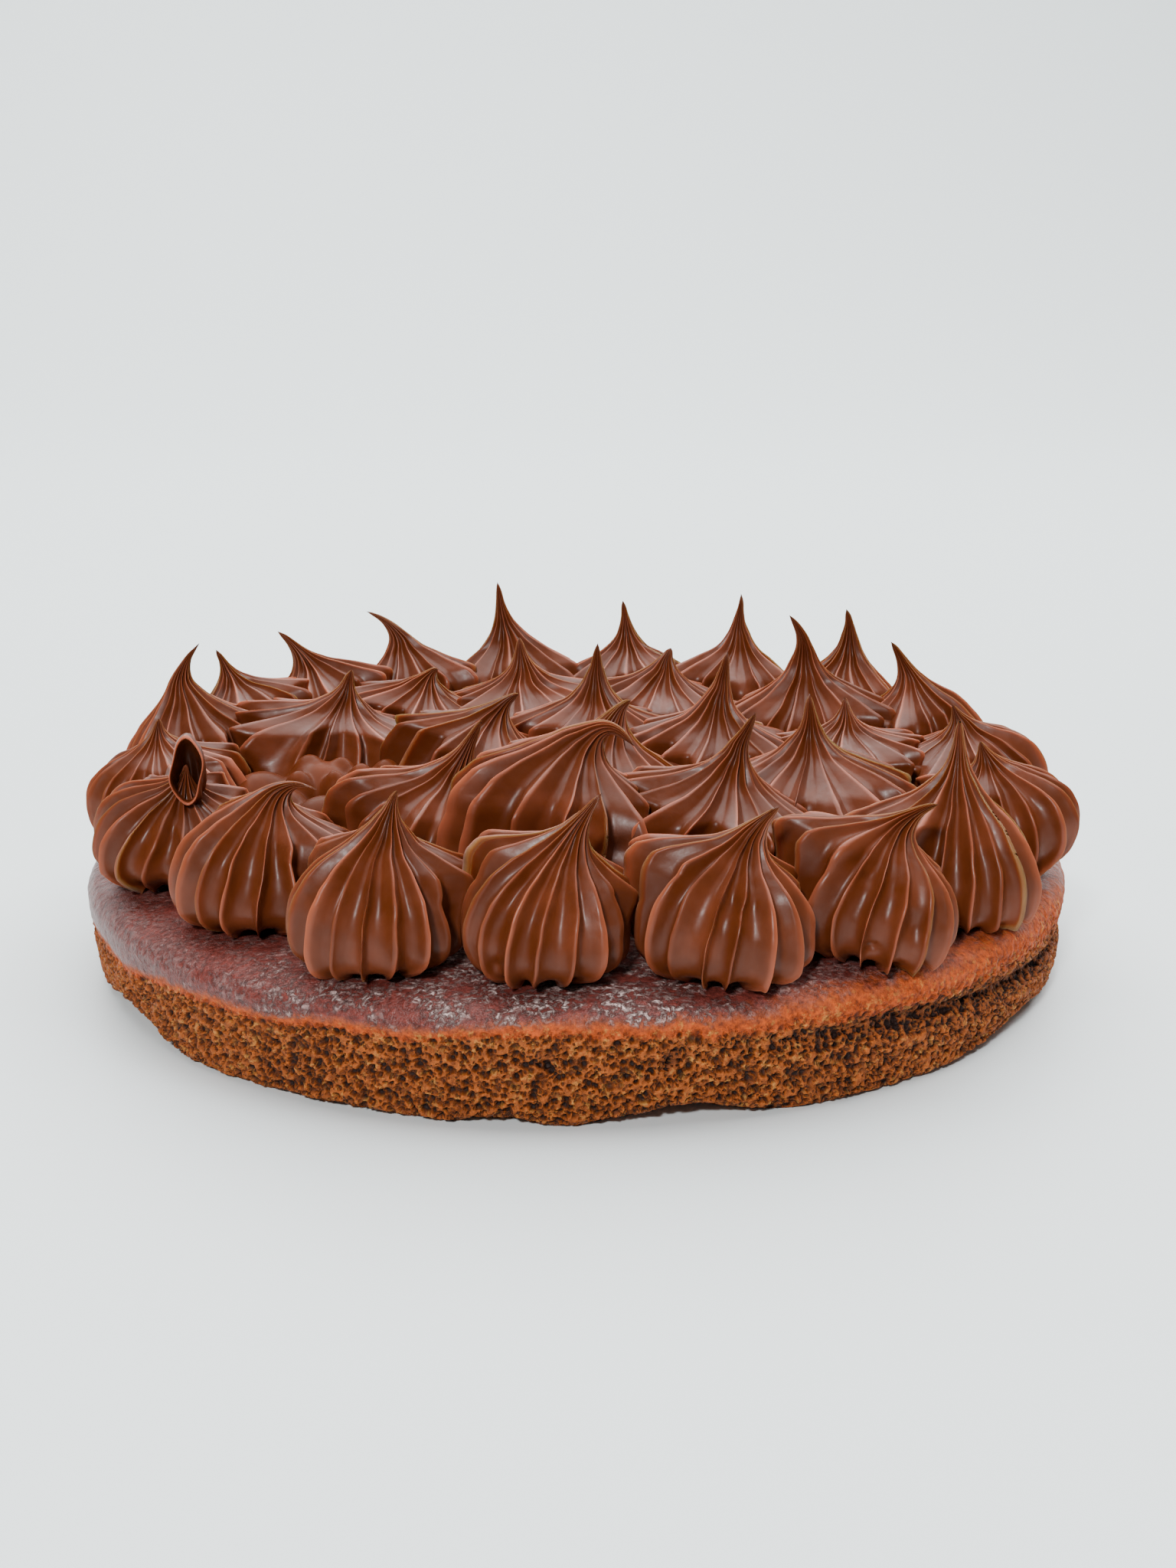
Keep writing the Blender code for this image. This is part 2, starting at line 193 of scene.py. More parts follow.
# The folded-over end, in millimetres: middle of its rim, half width and half height,
# depth of the shell behind the rim, of the rim before it, and of the hollow
HOOD_CENTRE = (-66.0, -35.0, 42.3)
HOOD_SIZE = (2.9, 6.4)
HOOD_SHELL = 6.4
HOOD_RIM = 1.2
HOOD_HOLLOW = 4.6
HOOD_LIP = 0.16                    # width of the rim, as a share
HOOD_RIBS = (0.6, 2.2)             # depth and spacing of the ribs in the hollow
HOOD_FLUTES = (0.09, 9)            # depth of the flutes outside, as a share, and their number
HOOD_SAG = 7.0                     # how far its back hangs down to the neck
HOOD_LEAN = 0.06                   # how far it leans sideways for each millimetre up
HOOD_POINTED = (1.15, 1.05)        # powers that draw a round outline into an almond

# Burst bubbles, nicks and pinches in the kisses' fronts: kiss, x, height above the
# floor, radius and depth, in millimetres
DENTS = (
    ("middle_kiss_01", -16.2, 42.4, 0.9, 0.8),
    ("middle_kiss_01", -11.6, 43.1, 0.9, 0.8),
    ("outer_kiss_01", -11.7, 24.0, 1.2, 1.0),
    ("outer_kiss_02", 24.3, 33.5, 1.3, 0.9),
    ("outer_kiss_03", 45.4, 24.7, 0.8, 1.6),
    ("outer_kiss_03", 52.5, 27.1, 1.9, 1.0),
    ("outer_kiss_03", 44.8, 34.7, 1.0, 0.8),
)

# Side of the sponge, from its underside up: radius and height in millimetres, and
# the number of mesh rows up to that point
SIDE_PROFILE = (
    (86.5, 0.0, 0),
    (88.2, 1.0, 6),
    (89.0, 6.0, 13),
    (89.4, 11.5, 14),
    (89.8, 14.0, 7),
    (89.9, 16.4, 6),
    (88.6, 18.6, 7),
    (85.5, 19.7, 7),
    (80.0, 20.1, 7),
    (74.0, 20.1, 4),
)
# The lip that the outer kisses follow down, from the flat top outwards
LIP_RADIUS = (80.0, 85.5, 88.6, 90.0)
LIP_HEIGHT = (20.1, 19.7, 18.6, 16.4)

# Round the cake by compass angle in degrees, with the front at -90 and the right at
# 0: where the baked skin ends, how wide the soft band under it is, how grainy and
# glazed the skin is as a share, which also sets its painted pale sheen, and where the
# crease runs. Lengths are in millimetres.
SKIN_ANGLES = (-180, -151, -133, -118, -91, -71, -53, -30, 0, 45, 90, 135)
SKIN_LINE = (12.0, 12.5, 13.5, 15.0, 17.6, 17.4, 18.6, 18.8, 17.0, 15.0, 15.0, 13.5)
BAND_ANGLES = (-180, -100, -80, -62, -45, -15, 8, 60)
BAND_WIDTH = (1.5, 1.8, 2.6, 4.5, 6.0, 5.5, 3.0, 2.2)
GLAZE_AND_SHEEN_ANGLES = (-180, -128, -112, -96, -82, -70, 0, 90)
GLAZE_AND_SHEEN = (0.1, 0.15, 0.7, 1.0, 0.9, 0.25, 0.1, 0.3)
CREASE_ANGLES = (-75, -65, -57, -42, -30, -12, 2)
CREASE_HEIGHT = (12.4, 12.2, 12.3, 10.6, 9.6, 9.4, 9.4)
CREASE_STRENGTH = (0.0, 0.6, 1.0, 1.0, 1.0, 0.6, 0.0)
CREASE_REACH = 1.25                # how far the crease opens up and down
CREASE_SHADE = 1.6                 # and how far its painted shade reaches
# The wall swells under the crease: by how much, how far below it and how wide
CREASE_BULGE = (0.5, 4.5, 2.5)
# Places where the ragged foot is lifted: angle, half width in degrees, lift
FOOT_NOTCHES = (
    (-150, 15, 3.2),
    (-97, 6, 0.9),
    (-79, 12, 2.4),
    (-30, 14, 1.7),
    (35, 12, 1.8),
    (85, 16, 2.2),
    (140, 12, 1.5),
)
FOOT_TATTERS = (0.35, 0.2)         # depth of the foot's fine and of its coarse tatters
FOOT_UNDERCUT = 3.2                # how far the foot draws in for each millimetre of lift
WALL_WAVES = (0.45, 0.35)          # unevenness of the whole side, and of its lower part
SKIN_WAVER = 0.7                   # how far the edge of the skin wavers
# Large pits in the crumb: angle, height and radius
CRUMB_PITS = ((-93.2, 10.8, 1.3), (-80.8, 10.7, 1.6))
PIT_DEPTH = 1.3


def linear(code):
    """Turn an sRGB hex colour into Blender's linear RGBA."""
    parts = [int(code[i:i + 2], 16) / 255.0 for i in (1, 3, 5)]
    return tuple(c / 12.92 if c <= 0.04045 else ((c + 0.055) / 1.055) ** 2.4 for c in parts) + (1.0,)


def add_node(tree, kind, links, **settings):
    """Add a node. links fills its inputs with plain values, sockets or other nodes."""
    node = tree.nodes.new(kind)
    for name, value in settings.items():
        setattr(node, name, value)
    for key, value in links.items():
        if isinstance(value, bpy.types.Node):
            value = value.outputs[0]
        if isinstance(value, bpy.types.NodeSocket):
            tree.links.new(value, node.inputs[key])
        else:
            node.inputs[key].default_value = value
    return node


def new_tree(name, sockets):
    """Start a geometry node tree with the named inputs and one geometry output."""
    tree = bpy.data.node_groups.new(name, "GeometryNodeTree")
    for label, kind, default in sockets:
        socket = tree.interface.new_socket(name=label, in_out="INPUT", socket_type="NodeSocket" + kind)
        if default is not None:
            socket.default_value = default
    tree.interface.new_socket(name="Geometry", in_out="OUTPUT", socket_type="NodeSocketGeometry")
    return tree, tree.nodes.new("NodeGroupInput")


def grown_mesh(name, tree, values, start=None):
    """Run a geometry node tree and return what it makes as a plain mesh."""
    seed = bpy.data.objects.new(name, start or bpy.data.meshes.new(name))
    bpy.context.scene.collection.objects.link(seed)
    modifier = seed.modifiers.new("Shape", "NODES")
    modifier.node_group = tree
    for item in tree.interface.items_tree:
        if item.in_out == "INPUT" and item.name in values:
            modifier[item.identifier] = values[item.name]
    graph = bpy.context.evaluated_depsgraph_get()
    grown = seed.evaluated_get(graph)
    mesh = bpy.data.meshes.new_from_object(grown, preserve_all_data_layers=True, depsgraph=graph)
    bpy.data.objects.remove(seed, do_unlink=True)
    return mesh


def read_attribute(mesh, name):
    values = np.zeros(len(mesh.vertices), np.float32)
    mesh.attributes[name].data.foreach_get("value", values)
    return values.astype(float)


def write_attribute(mesh, name, values):
    attribute = mesh.attributes.get(name) or mesh.attributes.new(name, "FLOAT", "POINT")
    attribute.data.foreach_set("value", np.asarray(values, np.float32))


def read_points(mesh):
    points = np.zeros(len(mesh.vertices) * 3, np.float32)
    mesh.vertices.foreach_get("co", points)
    return points.reshape(-1, 3).astype(float)


def write_points(mesh, points):
    mesh.vertices.foreach_set("co", np.asarray(points, np.float32).ravel())
    mesh.update()


def close_up(mesh):
    """Merge the points that meet at a tip or pole, and point all faces outwards."""
    work = bmesh.new()
    work.from_mesh(mesh)
    bmesh.ops.remove_doubles(work, verts=work.verts[:], dist=0.004 * MM)
    bmesh.ops.dissolve_degenerate(work, edges=work.edges[:], dist=0.001 * MM)
    bmesh.ops.recalc_face_normals(work, faces=work.faces[:])
    work.to_mesh(mesh)
    work.free()
    mesh.shade_smooth()


def place_piece(mesh, name, material, nodes):
    """Make the mesh a piece of the cake, in place of the nodes named."""
    mesh.name = name
    mesh.materials.clear()
    mesh.materials.append(material)
    piece = bpy.data.objects.new(name, mesh)
    bpy.context.scene.collection.objects.link(piece)
    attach(piece, "root")
    if nodes:
        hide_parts(*nodes)


# Settings

def colour_setting(name, description, code):
    """A colour that a user can change. Its default is an sRGB hex value."""
    return FloatVectorProperty(
        name=name, description=description, subtype="COLOR", size=4, default=linear(code), min=0, max=1)


def length_setting(name, description, size):
    """A length that a user can change. Its default is given in millimetres."""
    return FloatProperty(name=name, description=description, default=size * MM, unit="LENGTH")


class SpongeSettings(bpy.types.PropertyGroup):
    """Sizes and colours of the baked layer."""
    columns: IntProperty(name="Columns", description="Mesh columns round the side", default=1280)
    crease_depth: length_setting("Crease Depth", "Groove right of the front", 2.0)
    pore_size: length_setting("Pore Spacing", "Spacing of the larger crumb pores", 1.25)
    pore_depth: length_setting("Pore Depth", "Depth of the larger crumb pores", 0.95)
    wall_colour: colour_setting("Crumb", "Cell walls of the open crumb", "#964A15")
    # Painted shade: the near-black colour painted inside the pores
    pore_shade_colour: colour_setting("Pore", "Painted shade inside the pores", "#1E0803")
    # Painted glints: golden specks of light on the cell walls
    glint_colour: colour_setting("Golden Glints", "Painted golden glints on the cell walls", "#D2984A")
    band_colour: colour_setting("Band", "Soft band right under the skin", "#A6420A")
    rust_colour: colour_setting("Skin Edge", "Edge of the baked skin", "#90401E")
    skin_colour: colour_setting("Skin", "Baked skin", "#662F29")
    # Painted sheen: the pale colour of the skin's grains stands in for reflected light
    sheen_colour: colour_setting("Sheen", "Painted pale sheen on the grains on the glazed patches of skin", "#DCC2BC")


class GanacheSettings(bpy.types.PropertyGroup):
    """How the ganache is piped and how it looks."""
    ridges: IntProperty(name="Ridges", description="Teeth of the star nozzle", default=16)
    samples: IntProperty(name="Samples", description="Mesh columns per ridge", default=8)
    rows: IntProperty(name="Rows", description="Mesh rows from base to tip", default=72)
    ridge_depth: FloatProperty(
        name="Ridge Depth", description="Valley depth as a share of the radius",
        default=0.16, subtype="FACTOR")
    unevenness: FloatProperty(
        name="Ridge Unevenness", description="Shift of each ridge as a share of their spacing",
        default=0.9, subtype="FACTOR")
    skirt_spread: FloatProperty(
        name="Skirt Spread", description="Extra reach of a skirt that fills a gap",
        default=0.85, subtype="FACTOR")
    press: length_setting("Press", "How far the fins of two kisses run into each other", 0.9)
    wobble: length_setting("Wobble", "Unevenness of each kiss", 2.2)
    # Painted light: the valley colour is painted shade, and the crest colour a painted glow and highlight on
    # the thin ridges
    valley_shade_colour: colour_setting("Valley", "Ganache between the ridges, in painted shade", "#58270F")
    crest_glow_colour: colour_setting("Crest", "Thin ridges, with a painted glow and highlight", "#AC5C40")


class StageSettings(bpy.types.PropertyGroup):
    """Camera, floor and lights."""
    eye: FloatVectorProperty(
        name="Camera", description="Where the camera stands", size=3, subtype="TRANSLATION",
        unit="LENGTH", default=(1.9 * MM, -397.2 * MM, 139.0 * MM))
    tilt: FloatProperty(
        name="Tilt", description="Camera tilt below the horizon", unit="ROTATION",
        default=math.radians(15.33))
    roll: FloatProperty(
        name="Roll", description="Camera roll", unit="ROTATION", default=math.radians(-0.2))
    lens: FloatProperty(name="Lens", description="Focal length in mm", default=50.84)
    floor_colour: colour_setting("Floor", "Pale, even floor", "#EEF6F7")
    front_light: FloatProperty(name="Front Light", description="Window before the cake", default=15.0)
    top_light: FloatProperty(name="Top Light", description="Soft light from above", default=46.0)
    room_light: FloatProperty(name="Room Light", description="Even light of a white room", default=0.20)


# Ganache

def kiss_tree():
    """A star-piped kiss: a fluted star swept along a curved spine.

    The radius follows the outline, and noise makes star and sweep uneven.
    """
    tree, given = new_tree("Piped Kiss", (
        ("Geometry", "Geometry", None), ("Foot", "Vector", None), ("Foot Pull", "Vector", None),
        ("Tip Pull", "Vector", None), ("Tip", "Vector", None), ("Width", "Float", 26 * MM),
        ("Stretch", "Float", 1.0), ("Swirl", "Float", 0.0), ("Turn", "Float", 0.0),
        ("Ridges", "Int", 16), ("Samples", "Int", 8), ("Rows", "Int", 72),
        ("Ridge Depth", "Float", 0.16), ("Bunching", "Float", 0.6), ("Unevenness", "Float", 0.9),
        ("Wobble", "Float", 2.2 * MM), ("Seed", "Float", 0.0), ("Material", "Material", None),
    ))
    size = given.outputs
    spine = add_node(tree, "GeometryNodeCurvePrimitiveBezierSegment", {
        "Resolution": size["Rows"], "Start": size["Foot"], "Start Handle": size["Foot Pull"],
        "End Handle": size["Tip Pull"], "End": size["Tip"]}, mode="POSITION")
    spine = add_node(tree, "GeometryNodeResampleCurve", {"Curve": spine}, mode="EVALUATED")
    index = add_node(tree, "GeometryNodeInputIndex", {})
    up = add_node(tree, "ShaderNodeMath", {0: index, 1: size["Rows"]}, operation="DIVIDE")
    kept_up = add_node(tree, "GeometryNodeCaptureAttribute", {}, domain="POINT")
    kept_up.capture_items.new("FLOAT", "Up")
    tree.links.new(spine.outputs[0], kept_up.inputs[0])
    tree.links.new(up.outputs[0], kept_up.inputs[1])
    stretched = add_node(tree, "ShaderNodeMath", {0: up, 1: size["Stretch"]}, operation="POWER")
    shape = add_node(tree, "ShaderNodeFloatCurve", {"Value": stretched})
    line = shape.mapping.curves[0].points
    line[0].location, line[-1].location = OUTLINE[0], OUTLINE[-1]
    for spot in OUTLINE[1:-1]:
        line.new(*spot)
    shape.mapping.update()
    half = add_node(tree, "ShaderNodeMath", {0: size["Width"], 1: 0.5}, operation="MULTIPLY")
    radius = add_node(tree, "ShaderNodeMath", {0: shape, 1: half}, operation="MULTIPLY")
    twist = add_node(tree, "ShaderNodeMath", {
        0: size["Swirl"], 1: up, 2: size["Turn"]}, operation="MULTIPLY_ADD")
    spine = add_node(tree, "GeometryNodeSetCurveTilt", {"Curve": kept_up.outputs[0], "Tilt": twist})
    # The nozzle's star: points bunched at each crest, and broad fins with a thin edge.
    # Noise round the circle shifts the fins and makes some of them lower.
    count = add_node(tree, "ShaderNodeMath", {0: size["Ridges"], 1: size["Samples"]}, operation="MULTIPLY")
    ring = add_node(tree, "GeometryNodeCurvePrimitiveCircle", {
        "Resolution": count, "Radius": 1.0}, mode="RADIUS")
    round_place = add_node(tree, "GeometryNodeInputPosition", {})
    luck = add_node(tree, "ShaderNodeTexNoise", {
        "Vector": round_place, "W": size["Seed"], "Scale": 2.6, "Detail": 0.0}, noise_dimensions="4D")
    luck = add_node(tree, "ShaderNodeSeparateXYZ", {0: luck.outputs["Color"]})
    step = add_node(tree, "ShaderNodeMath", {0: index, 1: size["Samples"]}, operation="DIVIDE")
    part = add_node(tree, "ShaderNodeMath", {0: step}, operation="FRACT")
    whole = add_node(tree, "ShaderNodeMath", {0: step}, operation="FLOOR")
    turn = add_node(tree, "ShaderNodeMath", {0: part, 1: 2 * math.pi}, operation="MULTIPLY")
    swing = add_node(tree, "ShaderNodeMath", {0: turn}, operation="SINE")
    pull = add_node(tree, "ShaderNodeMath", {
        0: size["Bunching"], 1: -0.5 / math.pi}, operation="MULTIPLY")
    eased = add_node(tree, "ShaderNodeMath", {0: swing, 1: pull, 2: part}, operation="MULTIPLY_ADD")
    along = add_node(tree, "ShaderNodeMath", {0: whole, 1: eased}, operation="ADD")
    shifted = add_node(tree, "ShaderNodeMath", {
        0: luck.outputs["X"], 1: size["Unevenness"], 2: along}, operation="MULTIPLY_ADD")
    pitch = add_node(tree, "ShaderNodeMath", {0: 2 * math.pi, 1: size["Ridges"]}, operation="DIVIDE")
    angle = add_node(tree, "ShaderNodeMath", {0: shifted, 1: pitch}, operation="MULTIPLY")
    side = add_node(tree, "ShaderNodeMath", {0: eased, 1: 2.0, 2: -1.0}, operation="MULTIPLY_ADD")
    near = add_node(tree, "ShaderNodeMath", {0: side}, operation="ABSOLUTE")
    broad = add_node(tree, "ShaderNodeMath", {0: near, 1: 2.0}, operation="POWER")
    thin = add_node(tree, "ShaderNodeMath", {0: near, 1: 7.0}, operation="POWER")
    fin = add_node(tree, "ShaderNodeMix", {"Factor": 0.45, "A": broad, "B": thin}, data_type="FLOAT")
    grown = add_node(tree, "ShaderNodeMapRange", {
        "Value": luck.outputs["Y"], "From Min": 0.3, "From Max": 0.6, "To Min": 0.72, "To Max": 1.0})
    fin = add_node(tree, "ShaderNodeMath", {0: fin, 1: grown}, operation="MULTIPLY")
    floor = add_node(tree, "ShaderNodeMath", {
        0: 1.0, 1: size["Ridge Depth"]}, operation="SUBTRACT")
    flute = add_node(tree, "ShaderNodeMath", {
        0: fin, 1: size["Ridge Depth"], 2: floor}, operation="MULTIPLY_ADD")
    kept_star = add_node(tree, "GeometryNodeCaptureAttribute", {}, domain="POINT")
    kept = (("Flute", flute.outputs[0]), ("Fin", fin.outputs[0]), ("Luck", luck.outputs["Z"]))
    for number, (label, value) in enumerate(kept, start=1):
        kept_star.capture_items.new("FLOAT", label)
        tree.links.new(value, kept_star.inputs[number])
    tree.links.new(ring.outputs[0], kept_star.inputs[0])
    cosine = add_node(tree, "ShaderNodeMath", {0: angle}, operation="COSINE")
    sine = add_node(tree, "ShaderNodeMath", {0: angle}, operation="SINE")
    spoke = add_node(tree, "ShaderNodeCombineXYZ", {"X": cosine, "Y": sine})
    point = add_node(tree, "ShaderNodeVectorMath", {
        0: spoke, "Scale": kept_star.outputs[1]}, operation="SCALE")
    star = add_node(tree, "GeometryNodeSetPosition", {
        "Geometry": kept_star.outputs[0], "Position": point})
    body = add_node(tree, "GeometryNodeCurveToMesh", {
        "Curve": spine, "Profile Curve": star, "Scale": radius, "Fill Caps": True})
    # Uneven squeezing and a trembling hand
    place = add_node(tree, "GeometryNodeInputPosition", {})
    noise = add_node(tree, "ShaderNodeTexNoise", {
        "Vector": place, "W": size["Seed"], "Scale": 1 / (11 * MM), "Detail": 2.0,
        "Roughness": 0.45}, noise_dimensions="4D")
    centred = add_node(tree, "ShaderNodeVectorMath", {
        0: noise.outputs["Color"], 1: (0.5, 0.5, 0.5)}, operation="SUBTRACT")
    shift = add_node(tree, "ShaderNodeVectorMath", {
        0: centred, "Scale": size["Wobble"]}, operation="SCALE")
    body = add_node(tree, "GeometryNodeSetPosition", {"Geometry": body, "Offset": shift})
    for label, value in (("up", kept_up.outputs[1]), ("flute", kept_star.outputs[1]),
                         ("fin", kept_star.outputs[2]), ("luck", kept_star.outputs[3])):
        body = add_node(tree, "GeometryNodeStoreNamedAttribute", {
            "Geometry": body, "Name": label, "Value": value}, data_type="FLOAT", domain="POINT")
    body = add_node(tree, "GeometryNodeRealizeInstances", {"Geometry": body})
    body = add_node(tree, "GeometryNodeSetMaterial", {"Geometry": body, "Material": size["Material"]})
    add_node(tree, "NodeGroupOutput", {"Geometry": body})
    return tree


def spine_points(kiss):
    """The four control points of a kiss's spine, in metres."""
    start = Vector((kiss.x * MM, kiss.y * MM, SPONGE_HEIGHT))
    lean = Vector((kiss.dx, kiss.dy, 0.0)) * MM
    rise = Vector((0.0, 0.0, kiss.height * MM))
    arch = Vector((0.0, 0.0, kiss.arch * MM))
    return (start, start + rise / 3, start + rise * 2 / 3 + lean * 0.3 + arch, start + rise + lean)


def stretch(kiss):
    """The power that brings the kiss's shoulder to its own height."""
    up = np.linspace(0.05, 0.95, 181)
    height = (along_spine(kiss, up)[:, 2] - SPONGE_HEIGHT) / MM
    return math.log(SHOULDER_SHARE) / math.log(up[np.argmax(height >= kiss.shoulder)])


def along_spine(kiss, up):
    """Points of the spine at each share up of its length parameter."""
    w, v = (1.0 - up)[:, None], up[:, None]
    a, b, c, d = (np.array(point) for point in spine_points(kiss))
    return a * w ** 3 + b * (3 * w * w * v) + c * (3 * w * v * v) + d * v ** 3


def parting_planes(kiss, press):
    """Upright planes that part a kiss from all the others."""
    for other in PIPED:
        if other is kiss:
            continue
        step = np.array((other.x - kiss.x, other.y - kiss.y, 0.0)) * MM
        distance = np.linalg.norm(step)
        bias = ((0.5 * kiss.width) ** 2 - (0.5 * other.width) ** 2) * MM * MM
        yield step / distance, 0.5 * distance + bias / (2.0 * distance) + press, other


def soft_least(a, b, softness):
    """The smaller of two lengths, rounded where they are alike."""
    blend = np.clip(0.5 + 0.5 * (b - a) / softness, 0.0, 1.0)
    return b + (a - b) * blend - softness * blend * (1.0 - blend)


def settle_kiss(mesh, kiss, settings):
    """Spread the skirts into the gaps, press them on the neighbours and let them lie down.

    The fins are shallow at the foot and deep at the shoulder and neck, and the drawn
    end curls over.
    """
    points = read_points(mesh)
    up, flute, fin = (read_attribute(mesh, name) for name in ("up", "flute", "fin"))
    level = up ** stretch(kiss)
    spine = along_spine(kiss, up)
    out = points - spine
    reach = np.maximum(np.linalg.norm(out, axis=1), 1e-9)
    way = out / reach[:, None]
    spread = settings.skirt_spread * np.interp(level, *np.transpose(SKIRT))
    if kiss in OUTER_RING:
        inward = -np.array((kiss.x, kiss.y, 0.0)) / math.hypot(kiss.x, kiss.y)
        sideways = np.interp(level, *np.transpose(SIDE_SHARE))
        spread = spread * np.clip(sideways + way @ inward, 0.0, 1.0)
    depth = settings.ridge_depth * np.interp(level, *np.transpose(FIN_DEPTH))
    fin = np.clip(fin, 0.0, 1.0) ** np.interp(level, *np.transpose(FIN_WIDTH))
    full = reach / flute * (1.0 + spread)
    foot = np.array((kiss.x, kiss.y, 0.0)) * MM
    length = np.interp(read_attribute(mesh, "luck"), (0.3, 0.7), BLADE_LENGTH)
    lap = np.interp(level, *np.transpose(BLADE_LAP)) * MM
    slope = HEAP_LAP - HEAP_SLOPE * (spine[:, 2] - SPONGE_HEIGHT)
    for normal, far, other in parting_planes(kiss, settings.press):
        facing = way @ normal
        room = far + (slope if other is HEAP else lap) - (spine - foot) @ normal
        wall = np.where((facing > 0.05) & (room > 0), room / np.maximum(facing, 0.05), 1.0)
        full = soft_least(full, wall * length, TOUCH_ROUNDING)
    points = spine + way * (full * (1.0 - depth * (1.0 - fin)))[:, None]
    curl = np.clip((up - (1.0 - CURL_SHARE)) / CURL_SHARE, 0.0, 1.0)
    points[:, 0] += kiss.hook * MM * curl ** 2
    points[:, 2] -= kiss.drop * MM * curl ** 3
    points[:, 2] += PETAL_ARCH * (1.0 - fin) * np.clip(1.0 - level / ARCH_SHARE, 0.0, 1.0) ** 2
    radius = np.hypot(points[:, 0], points[:, 1]) / MM
    drop = SPONGE_HEIGHT - np.interp(radius, LIP_RADIUS, LIP_HEIGHT) * MM
    height = points[:, 2] - SPONGE_HEIGHT
    points[:, 2] -= drop * np.clip(1.0 - height / SETTLE_HEIGHT, 0.0, 1.0) ** 1.5 + SINK
    front = points[:, 1] < kiss.y * MM
    for name, x, z, radius, depth in DENTS:
        if name == kiss.name:
            away = np.hypot(points[:, 0] / MM - x, points[:, 2] / MM - z) / radius
            points[:, 1] += front * depth * MM * np.exp(-away ** 2)
    write_points(mesh, points)


def fold_hood(material):
    """The folded-over end of one kiss: an almond-shaped bowl that opens to the front.

    A line runs from the back of the bowl over its rounded rim to the bottom of the
    hollow, and is turned round the almond's outline.
    """
    steps, spokes = 14, 72
    quarter = 0.5 * math.pi
    inner = 1.0 - HOOD_LIP
    # Each spot: share of the outline, depth behind the rim, and the tint, which is painted light: below 0
    # painted shade, darkest deep in the hollow, and at 1 the crest's painted glow on the rim
    shell = [(math.sin(quarter * t), HOOD_SHELL * math.cos(quarter * t), 0.15 * t)
             for t in np.linspace(0.06, 1.0, steps)]
    rim = [(1.0 - HOOD_LIP * t, -HOOD_RIM * math.sin(math.pi * t), 1.0) for t in (0.25, 0.5, 0.75)]
    hollow = [(inner * math.cos(quarter * t) ** 0.6, HOOD_HOLLOW * math.sin(quarter * t), -3.0 * t)
              for t in np.linspace(0.0, 0.95, steps)]
    turn = np.linspace(0.0, 2 * math.pi, spokes, endpoint=False)
    across = np.sign(np.cos(turn)) * np.abs(np.cos(turn)) ** HOOD_POINTED[0]
    along = np.sign(np.sin(turn)) * np.abs(np.sin(turn)) ** HOOD_POINTED[1]
    share, back, crest = (np.array(column)[:, None] for column in zip(*(shell + rim + hollow)))
    x = share * HOOD_SIZE[0] * across
    z = share * HOOD_SIZE[1] * along
    x += HOOD_LEAN * z + 0.25 * np.sin(0.8 * z)
    ribs = HOOD_RIBS[0] * np.cos(2 * math.pi * x / HOOD_RIBS[1]) * (crest < 0.0)
    depth = back - ribs * back / HOOD_HOLLOW
    y = depth + 0.02 * z ** 2
    outside = (crest >= 0.0) & (crest < 1.0) & (back > 0.0)
    flutes = HOOD_FLUTES[0] * np.cos(HOOD_FLUTES[1] * turn)
    swell = np.where(outside, flutes * np.clip(back / 3.0, 0.0, 1.0), 0.0)
    sag = HOOD_SAG * (np.maximum(depth, 0.0) / HOOD_SHELL) ** 1.5
    x, z = x * (1.0 + swell), z * (1.0 + swell) - sag
    grid = np.stack(np.broadcast_arrays(x, y, z), axis=-1) + np.array(HOOD_CENTRE)
    mesh = lathed_mesh("hood", grid[::-1] * MM, grid[-1].mean(axis=0) * MM, grid[0].mean(axis=0) * MM)
    # The tint goes into the fin attribute, where the ganache paints its shade and glow
    edge = np.repeat(crest.ravel()[::-1], spokes)
    write_attribute(mesh, "fin", np.append(edge, (0.0, 0.0))[:len(mesh.vertices)])
    place_piece(mesh, "folded_tip", material, [])


